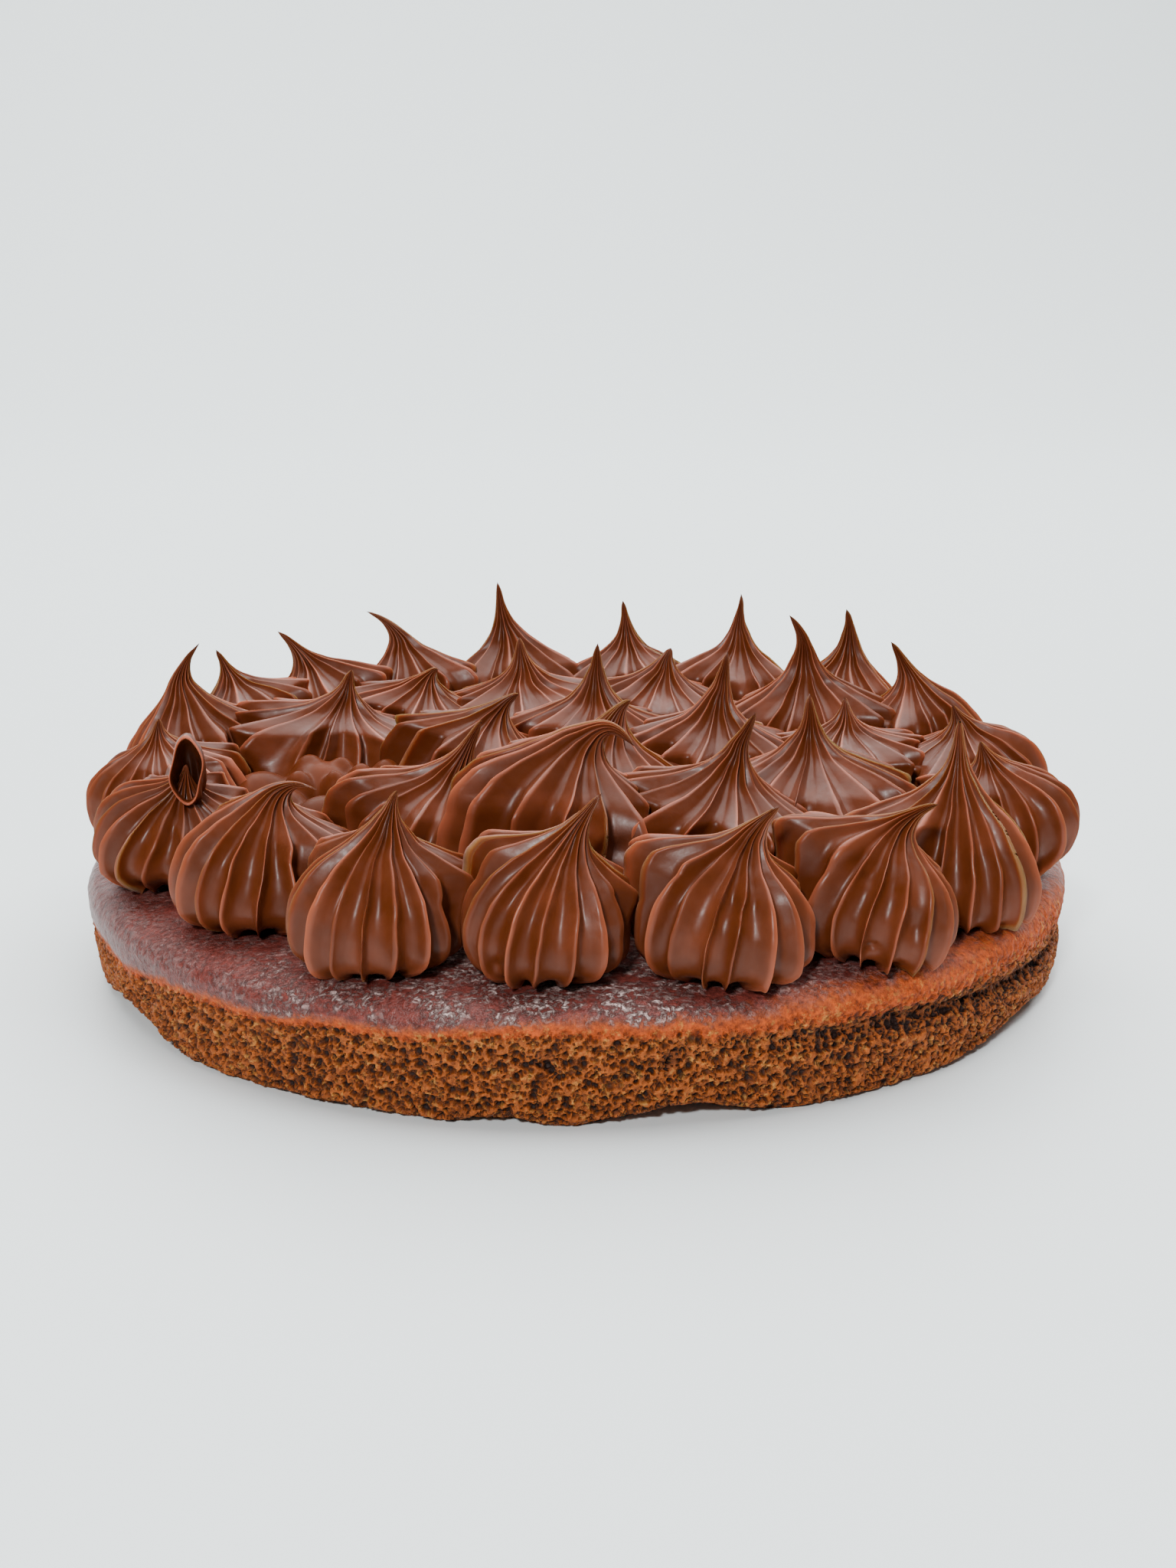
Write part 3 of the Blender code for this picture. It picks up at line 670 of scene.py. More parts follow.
def ganache_material(settings, name, shine):
    """Whipped milk chocolate ganache, piped cold.

    It is satin and a little translucent: broad soft highlights in the valleys. Its
    colour carries painted light: painted shade darkens the valleys, and the thin crests
    are painted lighter and redder than the mass, as a glow and highlight.
    """
    material = bpy.data.materials.new(name)
    material.use_nodes = True
    tree = material.node_tree
    shader = tree.nodes["Principled BSDF"]
    place = add_node(tree, "ShaderNodeTexCoord", {}).outputs["Object"]
    fin = add_node(tree, "ShaderNodeAttribute", {}, attribute_name="fin").outputs["Fac"]
    raised = add_node(tree, "ShaderNodeMath", {0: fin, 1: 0.0}, operation="MAXIMUM")
    edge = add_node(tree, "ShaderNodeMath", {0: raised, 1: 4.5}, operation="POWER")
    cloud = add_node(tree, "ShaderNodeTexNoise", {
        "Vector": place, "Scale": 1 / (9 * MM), "Detail": 3.0})
    tint = add_node(tree, "ShaderNodeMapRange", {
        "Value": cloud.outputs["Fac"], "From Min": 0.3, "From Max": 0.7, "To Min": -0.10, "To Max": 0.14})
    # Painted light: the crests take the lighter crest colour as a painted glow and highlight, and the
    # valleys keep the darker colour as painted shade
    mixed = add_node(tree, "ShaderNodeMath", {0: edge, 1: tint}, operation="ADD", use_clamp=True)
    colour = add_node(tree, "ShaderNodeMix", {
        0: mixed, 6: settings.valley_shade_colour, 7: settings.crest_glow_colour}, data_type="RGBA")
    # Below zero the same attribute marks the closed-in hollow and the heap's low folds, whose colour is
    # darkened there as painted shade
    depth = add_node(tree, "ShaderNodeMapRange", {
        "Value": fin, "From Min": -1.5, "From Max": 0.0, "To Min": 0.25, "To Max": 1.0})
    colour = add_node(tree, "ShaderNodeVectorMath", {
        0: colour.outputs[2], "Scale": depth}, operation="SCALE")
    tree.links.new(colour.outputs[0], shader.inputs["Base Color"])
    # Whipping leaves fine lumps about 1.4 mm apart and a slightly grainy gloss
    grain = add_node(tree, "ShaderNodeTexNoise", {
        "Vector": place, "Scale": 1 / (1.4 * MM), "Detail": 4.0, "Roughness": 0.6})
    gloss = add_node(tree, "ShaderNodeMapRange", {
        "Value": grain.outputs["Fac"], "From Min": 0.3, "From Max": 0.7, "To Min": 0.29, "To Max": 0.45})
    tree.links.new(gloss.outputs[0], shader.inputs["Roughness"])
    bump = add_node(tree, "ShaderNodeBump", {
        "Height": grain.outputs["Fac"], "Strength": 0.25, "Distance": 0.12 * MM})
    tree.links.new(bump.outputs[0], shader.inputs["Normal"])
    shader.inputs["IOR"].default_value = 1.33
    shader.inputs["Specular IOR Level"].default_value = shine
    shader.inputs["Subsurface Weight"].default_value = 0.12
    shader.inputs["Subsurface Radius"].default_value = (1.0, 0.45, 0.25)
    shader.inputs["Subsurface Scale"].default_value = 1.2 * MM
    return material


def pipe_kisses(settings):
    """Pipe and settle every kiss, and fold over the end of one."""
    tree = kiss_tree()
    material = ganache_material(settings, "whipped_ganache", KISS_SHINE)
    for number, kiss in enumerate(KISSES):
        foot, foot_pull, tip_pull, tip = spine_points(kiss)
        mesh = grown_mesh(kiss.name, tree, {
            "Foot": foot, "Foot Pull": foot_pull, "Tip Pull": tip_pull, "Tip": tip,
            "Width": kiss.width * MM * (OUTER_GIRTH if kiss in OUTER_RING else 1.0),
            "Stretch": stretch(kiss),
            "Swirl": math.radians(kiss.swirl), "Turn": math.radians(TURN_STEP * number),
            "Ridges": settings.ridges, "Samples": settings.samples, "Rows": settings.rows,
            "Ridge Depth": settings.ridge_depth, "Unevenness": settings.unevenness,
            "Wobble": settings.wobble, "Seed": SEED_STEP * number, "Material": material,
        })
        settle_kiss(mesh, kiss, settings)
        close_up(mesh)
        place_piece(mesh, "piped_" + kiss.name, material, [kiss.name])
    bpy.data.node_groups.remove(tree)
    fold_hood(material)


def drop_heap(settings):
    """Smooth blobs run together, as a dome over a disc that keeps clear of the kisses."""
    rings, spokes = 60, 200
    material = ganache_material(settings, "smooth_ganache", HEAP_SHINE)
    turn = np.linspace(0.0, 2 * math.pi, spokes, endpoint=False)
    way = np.stack((np.cos(turn), np.sin(turn), np.zeros(spokes)), axis=1)
    far = (HEAP_REACH + HEAP_WAVE * ripple(np.degrees(turn), 9, 6)) * HEAP.width * MM
    for normal, reach, _ in parting_planes(HEAP, HEAP_TUCK):
        facing = way @ normal
        wall = np.where(facing > 0.05, reach / np.maximum(facing, 0.05), 1.0)
        far = soft_least(far, wall, HEAP_ROUNDING)
    share = np.linspace(1.0, 0.0, rings)
    base = np.array((HEAP.x * MM, HEAP.y * MM, 0.0))
    grid = base + way[None] * far[None, :, None] * share[:, None, None]
    height = np.full(grid.shape[:2], HEAP_BED)
    for x, y, radius, top in HEAP_BLOBS:
        away = np.hypot(grid[..., 0] / MM - x, grid[..., 1] / MM - y) / radius
        blob = (top - HEAP_FALL * away ** 2) * HEAP_SHARPNESS
        height = np.logaddexp(height * HEAP_SHARPNESS, blob) / HEAP_SHARPNESS
    rim = np.sin(0.5 * np.pi * np.clip((1.0 - share) / HEAP_RIM, 0.0, 1.0)) ** 0.6
    grid[..., 2] = SPONGE_HEIGHT - HEAP_SINK + height * MM * rim[:, None]
    mesh = lathed_mesh("heap", grid[:-1], None, grid[-1, 0])
    level = (read_points(mesh)[:, 2] - SPONGE_HEIGHT) / MM
    # Painted shade in the low folds and a lighter painted tint on the crowns
    write_attribute(mesh, "fin", np.interp(level, *np.transpose(HEAP_LIGHT_AND_SHADE)))
    place_piece(mesh, "piped_heap", material, ["ganache_heap"])


def lathed_mesh(name, grid, low_pole, high_pole):
    """A closed mesh from rings of points, with a flat cap or a pole at each end."""
    rows, columns = grid.shape[:2]
    points = grid.reshape(-1, 3)
    square = np.arange(rows * columns).reshape(rows, columns)
    a, b = square[:-1], np.roll(square, -1, axis=1)[:-1]
    c, d = np.roll(square, -1, axis=1)[1:], square[1:]
    faces = np.stack((a, b, c, d), axis=-1).reshape(-1, 4).tolist()
    points = points.tolist()
    for pole, ring, flip in ((low_pole, square[0], True), (high_pole, square[-1], False)):
        loop = ring.tolist()
        if pole is None:
            faces.append(loop[::-1] if flip else loop)
            continue
        centre = len(points)
        points.append(list(pole))
        for i, j in zip(loop, loop[1:] + loop[:1]):
            faces.append((j, i, centre) if flip else (i, j, centre))
    mesh = bpy.data.meshes.new(name)
    mesh.from_pydata(points, [], faces)
    mesh.validate()
    close_up(mesh)
    return mesh


# Sponge

def read_round(angles, stations, values):
    """Read a value at each angle from its values at some stations round the cake."""
    return np.interp(angles, stations, values, period=360)


def ripple(angles, count, seed):
    """A smooth random wave round the cake with about so many bumps, from -1 to 1."""
    knots = np.random.default_rng(seed).uniform(-1.0, 1.0, count)
    return np.interp(angles, np.arange(count) * 360.0 / count, knots, period=360)


def foot_lift(angles):
    """How far the ragged foot is lifted at each angle, in millimetres."""
    lift = np.zeros_like(angles)
    for centre, half_width, rise in FOOT_NOTCHES:
        off = (angles - centre + 180.0) % 360.0 - 180.0
        bell = np.cos(0.5 * np.pi * np.clip(off / half_width, -1.0, 1.0)) ** 2
        lift += rise * bell
    return lift


def pit_share(angles, height):
    """How deep a point of the side lies in one of the large pits, 0 to 1."""
    share = np.zeros_like(height)
    for angle, middle, size in CRUMB_PITS:
        along = np.radians(angles - angle) * SPONGE_RADIUS / MM
        share += np.exp(-(along ** 2 + (height - middle) ** 2) / size ** 2)
    return share


def sponge_mesh(settings):
    """Turn the side profile round the cake, with its ragged foot, crease and uneven lip."""
    angles = np.linspace(-180.0, 180.0, settings.columns, endpoint=False)
    fine, coarse = FOOT_TATTERS
    lift = foot_lift(angles) + fine * ripple(angles, 150, 1) + coarse * ripple(angles, 60, 2)
    lift = np.maximum(lift, -0.5)
    rings = []
    for (r0, z0, _), (r1, z1, rows) in zip(SIDE_PROFILE, SIDE_PROFILE[1:]):
        for step in range(rows):
            share = step / rows
            rings.append((r0 + (r1 - r0) * share, z0 + (z1 - z0) * share))
    rings.append(SIDE_PROFILE[-1][:2])
    radius = np.repeat(np.array(rings)[:, :1], len(angles), axis=1)
    height = np.repeat(np.array(rings)[:, 1:], len(angles), axis=1)
    rise = np.clip(1.0 - np.abs(height - 1.0) / 9.0, 0.0, 1.0)
    rise[0] = 0.0
    height += lift * np.where(height < 1.0, height, rise)
    under = np.clip(1.0 - np.array(rings)[:, 1:] / 1.0, 0.0, 1.0)
    radius -= under * FOOT_UNDERCUT * np.maximum(lift, 0.0)
    strength = np.interp(angles, CREASE_ANGLES, CREASE_STRENGTH, left=0.0, right=0.0)
    off = height - np.interp(angles, CREASE_ANGLES, CREASE_HEIGHT)
    side = np.clip((height - 1.0) / 2.0, 0.0, 1.0)
    radius -= settings.crease_depth / MM * strength * np.exp(-(off / CREASE_REACH) ** 2) * side
    bulge, below, wide = CREASE_BULGE
    radius += bulge * strength * np.exp(-((off + below) / wide) ** 2) * side
    on_side = np.clip(height / 2.0, 0.0, 1.0) * np.clip((radius - 78.0) / 8.0, 0.0, 1.0)
    radius += on_side * WALL_WAVES[0] * ripple(angles, 21, 3)
    low = np.clip(1.0 - height / 14.0, 0.0, 1.0)
    radius += on_side * WALL_WAVES[1] * ripple(angles, 70, 4) * low
    for _ in range(3):
        for field in (radius, height):
            field[1:-1] = 0.25 * field[:-2] + 0.5 * field[1:-1] + 0.25 * field[2:]
    radius -= PIT_DEPTH * pit_share(angles, height)
    turn = np.radians(angles)
    grid = np.stack((radius * np.cos(turn), radius * np.sin(turn), height), axis=-1) * MM
    mesh = lathed_mesh("sponge", grid, (0, 0, 0), (0, 0, SIDE_PROFILE[-1][1] * MM))
    mark_zones(mesh)
    return mesh


def mark_zones(mesh):
    """Store how baked each point is: 0 and less is open crumb, 1 and more is skin."""
    points = read_points(mesh) / MM
    angles = np.degrees(np.arctan2(points[:, 1], points[:, 0]))
    radius = np.hypot(points[:, 0], points[:, 1])
    line = read_round(angles, SKIN_ANGLES, SKIN_LINE) + SKIN_WAVER * ripple(angles, 44, 5)
    width = read_round(angles, BAND_ANGLES, BAND_WIDTH)
    inner = np.maximum(0.0, 86.0 - radius) * 0.8
    baked = (points[:, 2] + inner - line) / width + 1.0
    write_attribute(mesh, "baked", np.where(points[:, 2] < 0.3, -3.0, baked))
    # Painted shade: the crease and the large pits are marked so that their colour is darkened
    crease = np.interp(angles, CREASE_ANGLES, CREASE_STRENGTH, left=0.0, right=0.0)
    off = points[:, 2] - np.interp(angles, CREASE_ANGLES, CREASE_HEIGHT)
    pits = pit_share(angles, points[:, 2]) * (radius > 80.0)
    write_attribute(mesh, "crease", np.maximum(crease * np.exp(-(off / CREASE_SHADE) ** 2), pits))
    # The glaze share also sets where the skin gets its painted pale sheen
    write_attribute(mesh, "glaze_and_sheen", read_round(angles, GLAZE_AND_SHEEN_ANGLES, GLAZE_AND_SHEEN))
    place = mesh.attributes.new("grain_place", "FLOAT_VECTOR", "POINT")
    place.data.foreach_set("vector", read_points(mesh).astype(np.float32).ravel())


def pore_field(tree, place, spacing):
    """How far a point lies inside a crumb pore, 0 to 1. Geometry and colour share it:
    the geometry sinks the pores by it, and the colour paints shade into them by it.

    Three sizes of bubbles overlap: the main ones, fine ones between them, and a few
    large pits. Each bubble has its own size, and a warp makes them uneven.
    """
    warp = add_node(tree, "ShaderNodeTexNoise", {
        "Vector": place, "Scale": 0.6 / spacing, "Detail": 2.0})
    centred = add_node(tree, "ShaderNodeVectorMath", {
        0: warp.outputs["Color"], 1: (0.5, 0.5, 0.5)}, operation="SUBTRACT")
    moved = add_node(tree, "ShaderNodeVectorMath", {
        0: centred, 1: (0.9 * spacing,) * 3, 2: place}, operation="MULTIPLY_ADD")
    total = None
    for cell, least, most, weight in (
            (spacing, 0.38, 0.80, 1.1), (0.5 * spacing, 0.34, 0.74, 0.85), (2.6 * spacing, -0.7, 0.42, 1.3)):
        bubbles = add_node(tree, "ShaderNodeTexVoronoi", {"Vector": moved, "Scale": 1 / cell})
        chance = add_node(tree, "ShaderNodeSeparateXYZ", {0: bubbles.outputs["Color"]})
        rim = add_node(tree, "ShaderNodeMath", {
            0: chance, 1: most - least, 2: least}, operation="MULTIPLY_ADD")
        rim = add_node(tree, "ShaderNodeMath", {0: rim, 1: 0.01}, operation="MAXIMUM")
        deep = add_node(tree, "ShaderNodeMath", {0: rim, 1: 0.25}, operation="MULTIPLY")
        bowl = add_node(tree, "ShaderNodeMapRange", {
            "Value": bubbles.outputs["Distance"], "From Min": rim, "From Max": deep,
            "To Max": weight}, interpolation_type="SMOOTHSTEP")
        total = bowl if total is None else add_node(
            tree, "ShaderNodeMath", {0: total, 1: bowl}, operation="MAXIMUM")
    return total


def crumb_tree(spacing):
    """Sinks the pores into the side and roughens crumb and skin."""
    tree, given = new_tree("Open Crumb", (
        ("Geometry", "Geometry", None), ("Depth", "Float", 0.95 * MM), ("Roughness", "Float", 0.8 * MM),
        ("Material", "Material", None),
    ))
    place = add_node(tree, "GeometryNodeInputPosition", {})
    baked = add_node(tree, "GeometryNodeInputNamedAttribute", {"Name": "baked"}, data_type="FLOAT")
    open_share = add_node(tree, "ShaderNodeMapRange", {
        "Value": baked.outputs[0], "From Min": 0.9, "From Max": -0.2, "To Min": 0.05, "To Max": 1.0})
    pores = pore_field(tree, place.outputs[0], spacing)
    sink = add_node(tree, "ShaderNodeMath", {0: pores, 1: given.outputs["Depth"]}, operation="MULTIPLY")
    sink = add_node(tree, "ShaderNodeMath", {0: sink, 1: -1.0}, operation="MULTIPLY")
    lumps = add_node(tree, "ShaderNodeTexNoise", {
        "Vector": place, "Scale": 1 / (2.6 * MM), "Detail": 4.0, "Roughness": 0.65})
    lumps = add_node(tree, "ShaderNodeMath", {0: lumps, 1: 0.5}, operation="SUBTRACT")
    rough = add_node(tree, "ShaderNodeMath", {
        0: lumps, 1: given.outputs["Roughness"], 2: sink}, operation="MULTIPLY_ADD")
    rough = add_node(tree, "ShaderNodeMath", {0: rough, 1: open_share}, operation="MULTIPLY")
    swell = add_node(tree, "ShaderNodeTexNoise", {
        "Vector": place, "Scale": 1 / (7 * MM), "Detail": 3.0, "Roughness": 0.6})
    swell = add_node(tree, "ShaderNodeMath", {0: swell, 1: 0.5}, operation="SUBTRACT")
    total = add_node(tree, "ShaderNodeMath", {0: swell, 1: 0.7 * MM, 2: rough}, operation="MULTIPLY_ADD")
    spot = add_node(tree, "ShaderNodeSeparateXYZ", {0: place})
    above = add_node(tree, "ShaderNodeMapRange", {
        "Value": spot.outputs["Z"], "From Max": 0.8 * MM})
    total = add_node(tree, "ShaderNodeMath", {0: total, 1: above}, operation="MULTIPLY")
    normal = add_node(tree, "GeometryNodeInputNormal", {})
    offset = add_node(tree, "ShaderNodeVectorMath", {0: normal, "Scale": total}, operation="SCALE")
    body = add_node(tree, "GeometryNodeSetPosition", {
        "Geometry": given.outputs["Geometry"], "Offset": offset})
    body = add_node(tree, "GeometryNodeRealizeInstances", {"Geometry": body})
    body = add_node(tree, "GeometryNodeSetMaterial", {
        "Geometry": body, "Material": given.outputs["Material"]})
    add_node(tree, "NodeGroupOutput", {"Geometry": body})
    return tree


def sponge_material(settings):
    """Baked chocolate sponge: dull open crumb below, smooth dark skin above.

    The crumb's cell walls are orange brown, and its pores are painted almost black with
    shade. A soft band of a brighter orange brown, with few pores, lies under the skin's
    rusty edge.
    """
    material = bpy.data.materials.new("baked_chocolate_sponge")
    material.use_nodes = True
    tree = material.node_tree
    shader = tree.nodes["Principled BSDF"]
    place = add_node(tree, "ShaderNodeAttribute", {}, attribute_name="grain_place").outputs["Vector"]
    baked = add_node(tree, "ShaderNodeAttribute", {}, attribute_name="baked").outputs["Fac"]
    crease = add_node(tree, "ShaderNodeAttribute", {}, attribute_name="crease").outputs["Fac"]
    patch = add_node(tree, "ShaderNodeTexNoise", {
        "Vector": place, "Scale": 1 / (3.2 * MM), "Detail": 4.0, "Roughness": 0.6})
    shift = add_node(tree, "ShaderNodeMapRange", {
        "Value": patch.outputs["Fac"], "From Min": 0.25, "From Max": 0.75,
        "To Min": -0.35, "To Max": 0.35})
    level = add_node(tree, "ShaderNodeMath", {0: baked, 1: shift}, operation="ADD")
    spread = add_node(tree, "ShaderNodeMath", {0: level, 1: 0.66}, operation="MULTIPLY")
    ramp = add_node(tree, "ShaderNodeValToRGB", {"Fac": spread})
    stops = ((0.0, settings.wall_colour), (0.16, settings.band_colour), (0.42, settings.band_colour),
             (0.68, settings.rust_colour), (1.0, settings.skin_colour))
    bar = ramp.color_ramp
    bar.elements[0].color, bar.elements[1].color = stops[0][1], stops[-1][1]
    for spot, colour in stops[1:-1]:
        bar.elements.new(spot).color = colour
    fleck = add_node(tree, "ShaderNodeTexNoise", {
        "Vector": place, "Scale": 1 / (0.9 * MM), "Detail": 3.0, "Roughness": 0.7})
    shade = add_node(tree, "ShaderNodeMapRange", {
        "Value": fleck.outputs["Fac"], "From Min": 0.32, "From Max": 0.68, "To Min": 0.45, "To Max": 1.5})
    wall = add_node(tree, "ShaderNodeVectorMath", {
        0: ramp.outputs["Color"], "Scale": shade}, operation="SCALE")
    # Painted glints: golden specks of light about 1.2 mm apart on the crumb and the band
    glint_noise = add_node(tree, "ShaderNodeTexNoise", {
        "Vector": place, "Scale": 1 / (1.2 * MM), "Detail": 3.0, "Roughness": 0.75, "W": 4.0},
        noise_dimensions="4D")
    glint = add_node(tree, "ShaderNodeMapRange", {
        "Value": glint_noise.outputs["Fac"], "From Min": 0.54, "From Max": 0.68, "To Max": 0.55})
    crumbly = add_node(tree, "ShaderNodeMapRange", {"Value": level, "From Min": 1.1, "From Max": 0.6})
    glint = add_node(tree, "ShaderNodeMath", {0: glint, 1: crumbly}, operation="MULTIPLY")
    wall = add_node(tree, "ShaderNodeMix", {
        0: glint, 6: wall, 7: settings.glint_colour}, data_type="RGBA").outputs[2]
    pores = pore_field(tree, place, settings.pore_size)
    open_share = add_node(tree, "ShaderNodeMapRange", {
        "Value": level, "From Min": 0.75, "From Max": -0.1, "To Min": 0.0, "To Max": 0.95})
    # Painted shade: the deeper into a pore, the more its colour goes to the near-black shade colour
    dark = add_node(tree, "ShaderNodeMath", {0: pores, 1: open_share}, operation="MULTIPLY", use_clamp=True)
    # Painted shade: the crease and the large pits darken towards the pore colour too
    fold = add_node(tree, "ShaderNodeMath", {0: crease, 1: 0.55, 2: dark},
                    operation="MULTIPLY_ADD", use_clamp=True)
    colour = add_node(tree, "ShaderNodeMix", {0: fold, 6: wall, 7: settings.pore_shade_colour}, data_type="RGBA")
    skin = add_node(tree, "ShaderNodeMapRange", {"Value": level, "From Min": 0.9, "From Max": 1.35})
    # In front the skin is glazed in patches, with wrinkles about 1 mm apart whose pale
    # colour is a painted sheen
    clouds = add_node(tree, "ShaderNodeTexNoise", {"Vector": place, "Scale": 1 / (5 * MM), "Detail": 3.0})
    clouds = add_node(tree, "ShaderNodeMapRange", {
        "Value": clouds.outputs["Fac"], "From Min": 0.38, "From Max": 0.54})
    glaze_and_sheen = add_node(tree, "ShaderNodeAttribute", {}, attribute_name="glaze_and_sheen").outputs["Fac"]
    glazed = add_node(tree, "ShaderNodeMath", {0: clouds, 1: glaze_and_sheen}, operation="MULTIPLY")
    glazed = add_node(tree, "ShaderNodeMath", {0: glazed, 1: skin}, operation="MULTIPLY")
    grain = add_node(tree, "ShaderNodeTexNoise", {
        "Vector": place, "Scale": 1 / (1.1 * MM), "Detail": 4.0, "Roughness": 0.75, "Distortion": 0.6})
    grains_and_glints = add_node(tree, "ShaderNodeMapRange", {
        "Value": grain.outputs["Fac"], "From Min": 0.46, "From Max": 0.60})
    grains_and_glints = add_node(tree, "ShaderNodeMath", {0: grains_and_glints, 1: glazed}, operation="MULTIPLY")
    # Painted sheen: the grains on the glazed patches are painted pale, and they also raise the bump below
    colour = add_node(tree, "ShaderNodeMix", {
        0: grains_and_glints, 6: colour.outputs[2], 7: settings.sheen_colour}, data_type="RGBA")
    tree.links.new(colour.outputs[2], shader.inputs["Base Color"])
    shader.inputs["IOR"].default_value = 1.36
    gloss = add_node(tree, "ShaderNodeMapRange", {"Value": skin, "To Min": 0.68, "To Max": 0.30})
    tree.links.new(gloss.outputs[0], shader.inputs["Roughness"])
    relief = add_node(tree, "ShaderNodeMath", {0: grains_and_glints, 1: 3.0}, operation="MULTIPLY")
    depth = add_node(tree, "ShaderNodeMath", {0: dark, 1: -1.6, 2: relief}, operation="MULTIPLY_ADD")
    depth = add_node(tree, "ShaderNodeMath", {0: fleck, 1: 0.9, 2: depth}, operation="MULTIPLY_ADD")
    bump = add_node(tree, "ShaderNodeBump", {"Height": depth, "Strength": 0.9, "Distance": 0.45 * MM})
    tree.links.new(bump.outputs[0], shader.inputs["Normal"])
    return material


def bake_sponge(settings):
    material = sponge_material(settings)
    tree = crumb_tree(settings.pore_size)
    mesh = grown_mesh("sponge_layer", tree, {
        "Depth": settings.pore_depth, "Material": material}, sponge_mesh(settings))
    bpy.data.node_groups.remove(tree)
    mesh.shade_smooth()
    place_piece(mesh, "sponge_layer", material, ["sponge"])


# Stage

def floor_material(settings):
    """Satin laminate floor: pale, even, with a faint soft reflection."""
    material = bpy.data.materials.new("satin_laminate")
    material.use_nodes = True
    shader = material.node_tree.nodes["Principled BSDF"]
    shader.inputs["Base Color"].default_value = settings.floor_colour
    shader.inputs["Roughness"].default_value = 0.45
    return material


def lay_floor(settings):
    """A level floor that sweeps up into a back wall."""
    reach, depth, rise, width = 8.0, 1.3, 1.6, 12.0
    sweep, steps = 0.5, 16
    line = [(-reach, 0.0), (depth - sweep, 0.0)]
    for step in range(1, steps + 1):
        turn = 0.5 * math.pi * step / steps
        line.append((depth - sweep + sweep * math.sin(turn), sweep - sweep * math.cos(turn)))
    line.append((depth, rise))
    points = [(side * width / 2, y, z) for y, z in line for side in (-1, 1)]
    faces = [(2 * i, 2 * i + 1, 2 * i + 3, 2 * i + 2) for i in range(len(line) - 1)]
    mesh = bpy.data.meshes.new("floor")
    mesh.from_pydata(points, [], faces)
    mesh.materials.append(floor_material(settings))
    mesh.shade_smooth()
    floor = bpy.data.objects.new("floor", mesh)
    bpy.context.scene.collection.objects.link(floor)


def hang_light(name, place, size, power):
    """Hang a rectangular soft light that faces the cake. Its lengths are in metres."""
    target = (0.0, 0.0, 0.03)
    lamp = bpy.data.lights.new(name, "AREA")
    lamp.shape = "RECTANGLE"
    lamp.size, lamp.size_y = size
    lamp.energy = power
    light = bpy.data.objects.new(name, lamp)
    light.location = place
    light.rotation_euler = (Vector(target) - Vector(place)).to_track_quat("-Z", "Y").to_euler()
    bpy.context.scene.collection.objects.link(light)


def stand_camera(settings):
    shot = bpy.data.cameras.new("front_view")
    shot.sensor_width = 36.0
    shot.lens = settings.lens
    shot.clip_start = 0.01
    forward = Vector((0.0, math.cos(settings.tilt), -math.sin(settings.tilt)))
    right, up = Vector((1.0, 0.0, 0.0)), Vector((0.0, math.sin(settings.tilt), math.cos(settings.tilt)))
    cosine, sine = math.cos(settings.roll), math.sin(settings.roll)
    turned = (right * cosine + up * sine, up * cosine - right * sine, -forward)
    camera = bpy.data.objects.new("front_view", shot)
    camera.matrix_world = Matrix.Translation(settings.eye) @ Matrix(turned).transposed().to_4x4()
    bpy.context.scene.collection.objects.link(camera)
    bpy.context.scene.camera = camera


def set_stage(settings):
    lay_floor(settings)
    stand_camera(settings)
    hang_light("front_window", (-0.25, -1.1, 0.75), (0.15, 0.11), settings.front_light)
    hang_light("ceiling", (0.1, 0.45, 1.0), (1.9, 1.5), settings.top_light)
    world = bpy.data.worlds.new("white_room")
    bpy.context.scene.world = world
    world.use_nodes = True
    sky = world.node_tree.nodes["Background"]
    sky.inputs["Color"].default_value = linear("#F4F6F8")
    sky.inputs["Strength"].default_value = settings.room_light


# Operators and panel

class TART_OT_bake_sponge(bpy.types.Operator):
    """Bake the sponge layer with its crumb, skin, crease and foot"""
    bl_idname = "tart.bake_sponge"
    bl_label = "Bake Sponge"

    def execute(self, context):
        bake_sponge(context.scene.tart_sponge)
        return {"FINISHED"}


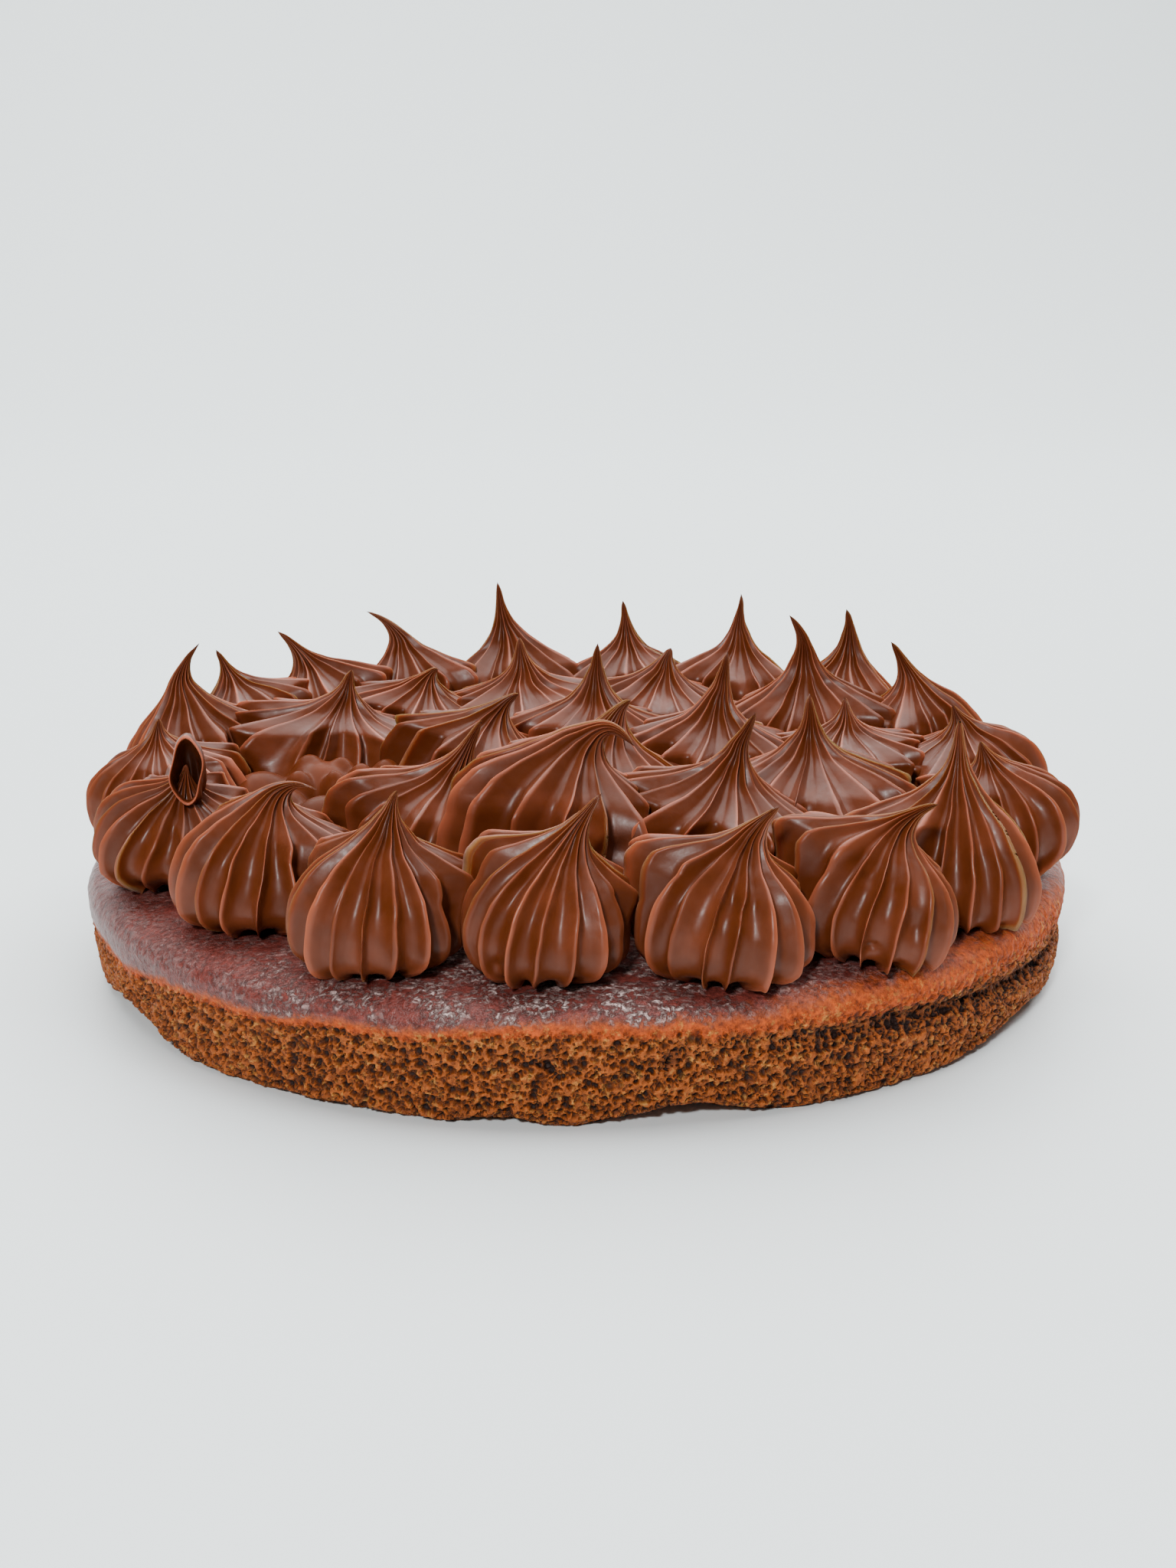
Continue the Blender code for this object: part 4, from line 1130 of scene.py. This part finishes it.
class TART_OT_pipe_kisses(bpy.types.Operator):
    """Pipe the three rings of star kisses"""
    bl_idname = "tart.pipe_kisses"
    bl_label = "Pipe Kisses"

    def execute(self, context):
        pipe_kisses(context.scene.tart_ganache)
        return {"FINISHED"}


class TART_OT_drop_heap(bpy.types.Operator):
    """Drop the low heap of smooth blobs"""
    bl_idname = "tart.drop_heap"
    bl_label = "Drop Heap"

    def execute(self, context):
        drop_heap(context.scene.tart_ganache)
        return {"FINISHED"}


class TART_OT_set_stage(bpy.types.Operator):
    """Lay the floor and set up the camera and the lights"""
    bl_idname = "tart.set_stage"
    bl_label = "Set Stage"

    def execute(self, context):
        set_stage(context.scene.tart_stage)
        return {"FINISHED"}


class TART_PT_panel(bpy.types.Panel):
    """The steps in the order in which the cake is made"""
    bl_idname = "TART_PT_panel"
    bl_label = "Chocolate Tart"
    bl_space_type = "VIEW_3D"
    bl_region_type = "UI"
    bl_category = "Tart"

    def draw(self, context):
        for settings, operators in (
                (context.scene.tart_sponge, (TART_OT_bake_sponge,)),
                (context.scene.tart_ganache, (TART_OT_pipe_kisses, TART_OT_drop_heap)),
                (context.scene.tart_stage, (TART_OT_set_stage,))):
            box = self.layout.box()
            for name in settings.__annotations__:
                box.prop(settings, name)
            for operator in operators:
                box.operator(operator.bl_idname)


SETTINGS = {
    "tart_sponge": SpongeSettings,
    "tart_ganache": GanacheSettings,
    "tart_stage": StageSettings,
}
CLASSES = (
    *SETTINGS.values(), TART_OT_bake_sponge, TART_OT_pipe_kisses, TART_OT_drop_heap,
    TART_OT_set_stage, TART_PT_panel,
)


def register():
    for item in CLASSES:
        bpy.utils.register_class(item)
    for name, group in SETTINGS.items():
        setattr(bpy.types.Scene, name, PointerProperty(type=group))


def unregister():
    for name in SETTINGS:
        delattr(bpy.types.Scene, name)
    for item in reversed(CLASSES):
        bpy.utils.unregister_class(item)


def main():
    register()
    bpy.ops.tart.set_stage()
    bpy.ops.tart.bake_sponge()
    bpy.ops.tart.pipe_kisses()
    bpy.ops.tart.drop_heap()


if __name__ == "__main__":
    main()
